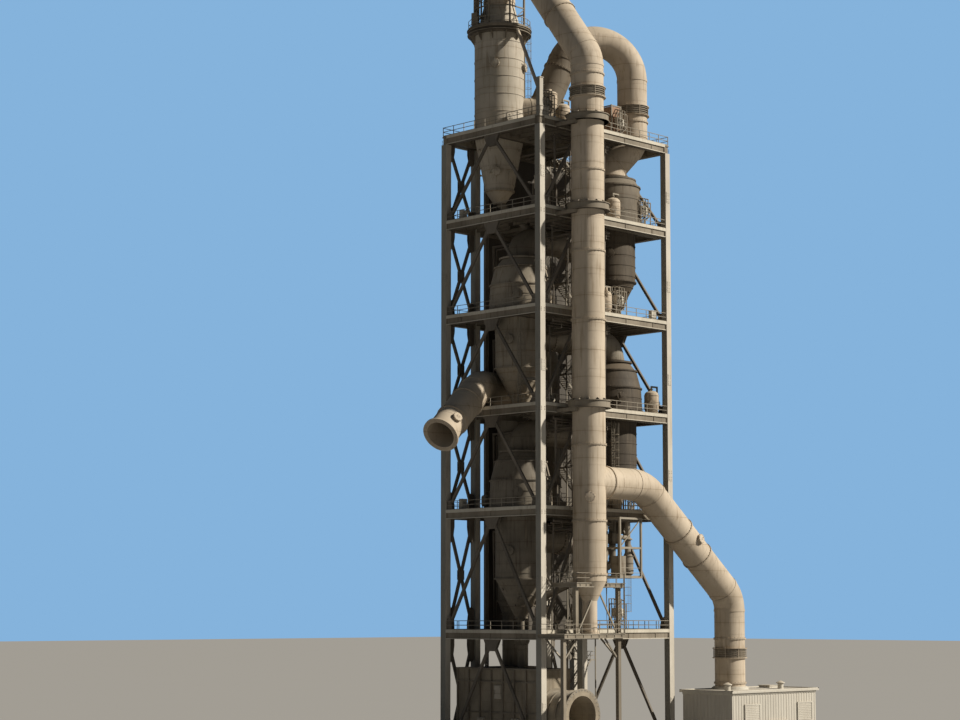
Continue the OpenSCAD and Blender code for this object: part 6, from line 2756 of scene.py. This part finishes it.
    def _railing(self, rails: Blank, corners: Sequence[Vector]) -> None:
        """Adds top rail, middle rail and posts along the corners.

        Args:
            rails: the mesh that takes the rails.
            corners: the line of the railing at deck height.
        """
        for up in (self.rail_h, self.rail_h / 2):
            rails.pipe([c + UP * up for c in corners], self.rail_r, 6)
        for a, b in zip(corners, corners[1:]):
            count = max(1, round((b - a).length / 0.14))
            for k in range(count + 1):
                foot = a.lerp(b, k / count)
                rails.pipe([foot, foot + UP * self.rail_h], self.rail_r, 6)


@dataclass
class KilnInletGear:
    """Buckstays, doors and the seal of the kiln's inlet chamber."""

    left: float = 0.090
    right: float = 0.570
    riser_right: float = 1.065
    front: float = 0.100
    riser_front: float = 0.976
    back: float = 1.409
    top: float = 1.000
    hood: tuple[float, float] = (0.330, 0.500)
    post: float = 0.022
    rim: float = 0.016
    doors: tuple[Corner, ...] = ((0.42, 0.30), (0.95, 0.30), (0.68, 0.66))
    hood_r: float = 0.262
    seal_bolts: int = 36
    seal_leaves: int = 48

    def build(self, shop: Workshop) -> None:
        """Makes the pieces.

        Args:
            shop: the trees and finishes.
        """
        site, steel, doors = shop.site, Blank(), Blank()
        bolts: list[tuple[Vector, Vector]] = []
        post, rim = self.post, self.rim
        for x, y0, y1 in ((self.left, self.front, self.back), (self.right, self.front, self.riser_front)):
            s = -1 if x == self.left else 1
            rib = Blank()
            a, b = site.at(x, y0 + 0.02, 0.0), site.at(x + s * post, y0 + 0.034, self.top)
            rib.span(a, b)
            count = round((y1 - y0) / 0.18)
            steel.add_mesh(shop.row(rib, count + 1, NORTH * ((y1 - y0 - 0.054) / count), Finish.FRAME))
            for z in (0.16, 0.50, 0.84):
                a, b = site.at(x, y0, z), site.at(x + s * (post - 0.006), y1, z + 0.016)
                steel.span(a, b)
        for k in range(4):
            x = self.right + 0.03 + k * (self.riser_right - self.right - 0.06) / 3
            steel.block(site.at(x - 0.007, self.riser_front - post, 0), site.at(x + 0.007, self.riser_front, self.top))
        for k in range(3):
            y = self.riser_front + 0.03 + k * (self.back - self.riser_front - 0.06) / 2
            steel.block(site.at(self.riser_right, y - 0.007, 0), site.at(self.riser_right + post, y + 0.007, self.top))
        steel.block(site.at(self.left - rim, self.front - rim, self.top - 0.02),
                    site.at(self.right + rim, self.front, self.top))
        steel.block(site.at(self.left - rim, self.front, self.top - 0.02), site.at(self.left, self.back, self.top))
        for y, z in self.doors:
            x = self.left - 0.020
            doors.block(site.at(x, y, z), site.at(self.left, y + 0.11, z + 0.15))
            doors.block(site.at(x - 0.008, y + 0.008, z + 0.008), site.at(x, y + 0.102, z + 0.142))
            for dz in (0.03, 0.12):
                doors.block(site.at(x - 0.014, y - 0.006, z + dz - 0.005), site.at(x, y + 0.03, z + dz + 0.005))
            doors.pipe(site.path((x - 0.008, y + 0.085, z + 0.06), (x - 0.022, y + 0.085, z + 0.06),
                                 (x - 0.022, y + 0.085, z + 0.09), (x - 0.008, y + 0.085, z + 0.09)), 0.003, 6)
        cx, cz = self.hood
        south = -NORTH
        for y, lip, thick in ((-0.292, 0.030, 0.014), (-0.255, 0.018, 0.008), (-0.15, 0.012, 0.008),
                              (-0.03, 0.012, 0.008), (0.088, 0.026, 0.014)):
            steel.hoop(site.at(cx, y, cz), south, 0.250, self.hood_r + lip, thick, 64)
        for k in range(self.seal_bolts):
            a = 2 * math.pi * k / self.seal_bolts
            bolts.append((site.at(cx + 0.276 * math.cos(a), -0.299, cz + 0.276 * math.sin(a)), south))
        leaf = Blank()
        for k in range(self.seal_leaves):
            a = 2 * math.pi * k / self.seal_leaves
            out = Vector((math.cos(a), 0, math.sin(a)))
            at = site.at(cx, -0.255, cz) + out * self.hood_r
            leaf.prism(rect(0.030, 0.050), 0.004, slab(at, out.cross(NORTH), NORTH))
        dress("chamber_buckstays", steel.mesh("b"), shop.palette[Finish.FRAME])
        dress("chamber_doors", doors.mesh("d"), shop.palette[Finish.VESSEL])
        dress("seal_leaves", leaf.mesh("l"), shop.palette[Finish.BOLT])
        dress("seal_bolts", shop.bolt_heads(bolts, 0.0055, 0.006), shop.palette[Finish.BOLT])


@dataclass
class FanHouseGear:
    """Wall ribs, roof flashing, louvres, door and the duct's roof curb."""

    x0: float = 2.290
    x1: float = 3.880
    y0: float = -0.810
    y1: float = -0.090
    height: float = 0.700
    rib_pitch: float = 0.050
    rib: float = 0.004

    def build(self, shop: Workshop) -> None:
        """Makes the pieces.

        Args:
            shop: the trees and finishes.
        """
        site, ribs, trim, dark = shop.site, Blank(), Blank(), Blank()
        long, deep = self.x1 - self.x0, self.y1 - self.y0
        walls = ((self.x0, self.y0, EAST, long, -NORTH), (self.x0, self.y1, EAST, long, NORTH),
                 (self.x0, self.y0, NORTH, deep, -EAST), (self.x1, self.y0, NORTH, deep, EAST))
        for x, y, way, length, out in walls:
            count = round(length / self.rib_pitch)
            pitch = length / count
            rib = Blank()
            centre = site.at(x, y, 0.03) + way * (pitch / 2)
            rib.prism([(-0.011, 0), (0.011, 0), (0.006, self.rib), (-0.006, self.rib)], self.height - 0.032,
                      slab(centre, way, out) if way.cross(out).z > 0 else slab(centre, -way, out))
            ribs.add_mesh(shop.row(rib, count, way * pitch, Finish.CLADDING))
            a = site.at(x, y, 0.0) - way * 0.012
            b = a + way * (length + 0.024) + out * 0.012 + UP * 0.045
            trim.span(a, b)
            a = site.at(x, y, self.height - 0.02)
            b = a + way * length + out * 0.010 + UP * 0.02
            trim.span(a, b)
        self._louvres(shop, trim, dark)
        self._roof(shop, trim)
        dress("wall_ribs", ribs.mesh("r"), shop.palette[Finish.CLADDING])
        dress("house_trim", trim.mesh("t"), shop.palette[Finish.CABINET])
        dress("house_openings", dark.mesh("o"), shop.palette[Finish.DARK])

    def _louvres(self, shop: Workshop, trim: Blank, dark: Blank) -> None:
        """Adds louvred openings and a double door, each in its frame.

        Args:
            shop: the trees and finishes.
            trim: the mesh that takes frames and doors.
            dark: the mesh that takes the openings' dark fill, which is painted shade.
        """
        site = shop.site
        for x, z, w, h in ((2.52, 0.36, 0.26, 0.20), (3.52, 0.36, 0.26, 0.20)):
            y = self.y0 - self.rib
            # painted shade: a dark block stands for the shade inside the opening
            dark.block(site.at(x, y - 0.003, z), site.at(x + w, y, z + h))
            trims = (((x - 0.012, z - 0.012), (x + w + 0.012, z)),
                     ((x - 0.012, z + h), (x + w + 0.012, z + h + 0.012)),
                     ((x - 0.012, z), (x, z + h)), ((x + w, z), (x + w + 0.012, z + h)))
            for a, b in trims:
                trim.block(site.at(a[0], y - 0.014, a[1]), site.at(b[0], y, b[1]))
            slat = Blank()
            slat.bar(site.at(x, y - 0.007, z + 0.012), site.at(x + w, y - 0.007, z + 0.012),
                     [(-0.001, -0.007), (0.001, -0.009), (0.003, 0.007), (0.001, 0.009)])
            trim.add_mesh(shop.row(slat, 10, UP * (h / 10), Finish.CABINET))
        y = self.y0 - self.rib
        x, w, h = 2.98, 0.30, 0.34
        for k in (0, 1):
            trim.block(site.at(x + k * w / 2 + 0.003, y - 0.008, 0.045), site.at(x + (k + 1) * w / 2 - 0.003, y, h))
            trim.block(site.at(x + k * w / 2 + 0.02, y - 0.011, 0.07),
                       site.at(x + (k + 1) * w / 2 - 0.02, y - 0.008, 0.17))
        for a, b in (((x - 0.014, 0.03), (x, h + 0.014)), ((x + w, 0.03), (x + w + 0.014, h + 0.014)),
                     ((x, h), (x + w, h + 0.014))):
            trim.block(site.at(a[0], y - 0.014, a[1]), site.at(b[0], y, b[1]))
        trim.block(site.at(x - 0.03, y - 0.022, h + 0.03), site.at(x + w + 0.03, y, h + 0.036))

    def _roof(self, shop: Workshop, trim: Blank) -> None:
        """Adds the roof edge flashing, the duct's curb, a hatch and two vents.

        Args:
            shop: the trees and finishes.
            trim: the mesh that takes the roof pieces.
        """
        site = shop.site
        z, lip = self.height + 0.022, 0.028
        x0, x1, y0, y1 = self.x0 - lip, self.x1 + lip, self.y0 - lip, self.y1 + lip
        for a, b in (((x0, y0), (x1, y0 + 0.014)), ((x0, y1 - 0.014), (x1, y1)), ((x0, y0), (x0 + 0.014, y1)),
                     ((x1 - 0.014, y0), (x1, y1))):
            trim.block(site.at(a[0], a[1], z), site.at(b[0], b[1], z + 0.010))
        curb = site.at(2.910, -0.295, z)
        trim.hoop(curb + UP * 0.012, UP, 0.176, 0.215, 0.024, 56)
        trim.hoop(curb + UP * 0.030, UP, 0.176, 0.200, 0.012, 56)
        for x in (2.45, 3.45):
            base = site.at(x, -0.62, z)
            trim.lathe(base, UP, [(0.040, 0), (0.034, 0.006), (0.034, 0.060), (0.052, 0.066), (0.052, 0.074),
                                  (0.006, 0.096)], 24)
        trim.block(site.at(3.58, -0.36, z), site.at(3.74, -0.20, z + 0.024))
        trim.block(site.at(3.572, -0.368, z + 0.024), site.at(3.748, -0.192, z + 0.032))


# Studio


@dataclass(frozen=True)
class Studio:
    """The pale floor, the soft lights and the camera."""

    eye: Point = (-17.8929, -15.9003, 1.6001)
    yaw: float = 44.846
    pitch: float = 5.704
    lens: float = 77.322
    shift: float = 0.05
    sun_from: tuple[float, float] = (307.0, 34.0)
    sun: float = 5.25
    softness: float = 2.0
    fill: float = 0.065
    backdrop: Colour = (0.235, 0.45, 0.715)

    def build(self, shop: Workshop) -> None:
        """Sets up floor, lights and camera.

        Args:
            shop: the finishes.
        """
        self._floor(shop)
        self._lights()
        self._camera()
        bpy.context.scene.view_settings.view_transform = "Standard"

    def _floor(self, shop: Workshop) -> None:
        """Lays the floor, well past the camera.

        Args:
            shop: the trees and finishes.
        """
        blank = Blank()
        reach, thick = 90.0, 0.02
        blank.block(Vector((-reach, -reach, -thick)), Vector((reach, reach, 0.0)))
        mesh = blank.mesh("studio_floor")
        mesh.materials.append(shop.palette[Finish.PAPER])
        floor = bpy.data.objects.new("studio_floor", mesh)
        bpy.context.scene.collection.objects.link(floor)

    def _lights(self) -> None:
        """Hangs the large soft key light and lights the sky evenly."""
        sun = bpy.data.lights.new("key", "SUN")
        sun.energy = self.sun
        sun.angle = math.radians(self.softness)
        sun.color = (1.0, 0.93, 0.81)
        key = bpy.data.objects.new("key", sun)
        turn, lift = (math.radians(a) for a in self.sun_from)
        way = Vector((math.cos(turn) * math.cos(lift), math.sin(turn) * math.cos(lift), math.sin(lift)))
        key.rotation_euler = way.to_track_quat("Z", "Y").to_euler()
        bpy.context.scene.collection.objects.link(key)
        self._sky()

    def _sky(self) -> None:
        """Lights the shaded sides softly, and shows a pale backdrop behind the tower."""
        world = bpy.data.worlds.new("studio_sky")
        world.use_nodes = True
        tree = world.node_tree
        sky = tree.nodes["Background"]
        sky.inputs["Color"].default_value = (0.60, 0.76, 1.0, 1.0)
        sky.inputs["Strength"].default_value = self.fill
        paper = tree.nodes.new("ShaderNodeBackground")
        paper.inputs["Color"].default_value = (*self.backdrop, 1.0)
        seen = tree.nodes.new("ShaderNodeLightPath")
        mix = tree.nodes.new("ShaderNodeMixShader")
        tree.links.new(seen.outputs["Is Camera Ray"], mix.inputs[0])
        tree.links.new(sky.outputs[0], mix.inputs[1])
        tree.links.new(paper.outputs[0], mix.inputs[2])
        tree.links.new(mix.outputs[0], tree.nodes["World Output"].inputs["Surface"])
        bpy.context.scene.world = world

    def _camera(self) -> None:
        """Stands the camera where the photograph was taken from."""
        lens = bpy.data.cameras.new("camera")
        lens.lens = self.lens
        lens.sensor_width = 36.0
        lens.shift_y = self.shift
        lens.clip_end = 400.0
        camera = bpy.data.objects.new("camera", lens)
        camera.location = self.eye
        camera.rotation_euler = (math.radians(90.0 + self.pitch), 0.0, math.radians(-self.yaw))
        bpy.context.scene.collection.objects.link(camera)
        bpy.context.scene.camera = camera


# The tower as a whole

PARTS: tuple[type, ...] = (
    ColumnSteel, GirderSteel, BraceSteel, DeckSteel, Staircase, FloorGear, VesselFittings, TopDeckGear,
    DuctFittings, CollarSteel, MealPipeGear, DeckEquipment, StoreyPiping, HopperPlatformGear, KilnInletGear,
    FanHouseGear)
CAD_FINISH: dict[Finish, tuple[str, ...]] = {
    Finish.CONCRETE: ("footings",),
    Finish.CHAMBER: ("kiln_inlet_chamber", "riser_chamber"),
    Finish.COLUMN: ("columns",),
    Finish.FRAME: ("floor_", "downcomer_supports", "top_ring_platform", "hopper_platform"),
    Finish.BRACE: ("bracing_",),
    Finish.RAIL: ("railings_",),
    Finish.VESSEL: ("cyclone_1",),
    Finish.SMOKED: ("cyclone_2_roof",),
    Finish.SOOTED: ("cyclone_2_body", "cyclone_4"),
    Finish.DUSTED: ("cyclone_3",),
    Finish.INNER: ("cyclone_5", "calciner", "transfer_", "calciner_loop", "meal_pipes"),
    Finish.DUCT: ("gooseneck", "downcomer", "downcomer_hopper", "feed_pipe", "exhaust_"),
    Finish.ARCH: ("u_duct",),
    Finish.SHELTERED: ("tertiary_",),
    Finish.CLADDING: ("fan_house",),
    Finish.SHEETING: ("back_sheeting",),
}


def paint_frame(frame: dict[str, Any], shop: Workshop) -> None:
    """Gives each CAD node its finish.

    Args:
        shop: the finishes.
    """
    stems = [(stem, finish) for finish, names in CAD_FINISH.items() for stem in names]
    stems.sort(key=lambda pair: len(pair[0]), reverse=True)
    for name, node in frame["nodes"].items():
        finish = next(f for stem, f in stems if name.startswith(stem))
        node.data.materials.clear()
        node.data.materials.append(shop.palette[finish])


def main() -> None:
    """Builds the studio and the tower's looks, piece by piece."""
    logging.basicConfig(level=logging.INFO, format="%(name)s: %(message)s")
    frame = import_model()
    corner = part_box("floor_1")[0]
    edge = Site.deck_edge
    site = Site(origin=(corner.x + edge, corner.y + edge))
    shop = Workshop(site)
    Studio().build(shop)
    paint_frame(frame, shop)
    for part in PARTS:
        part().build(shop)


if __name__ == "__main__":
    main()
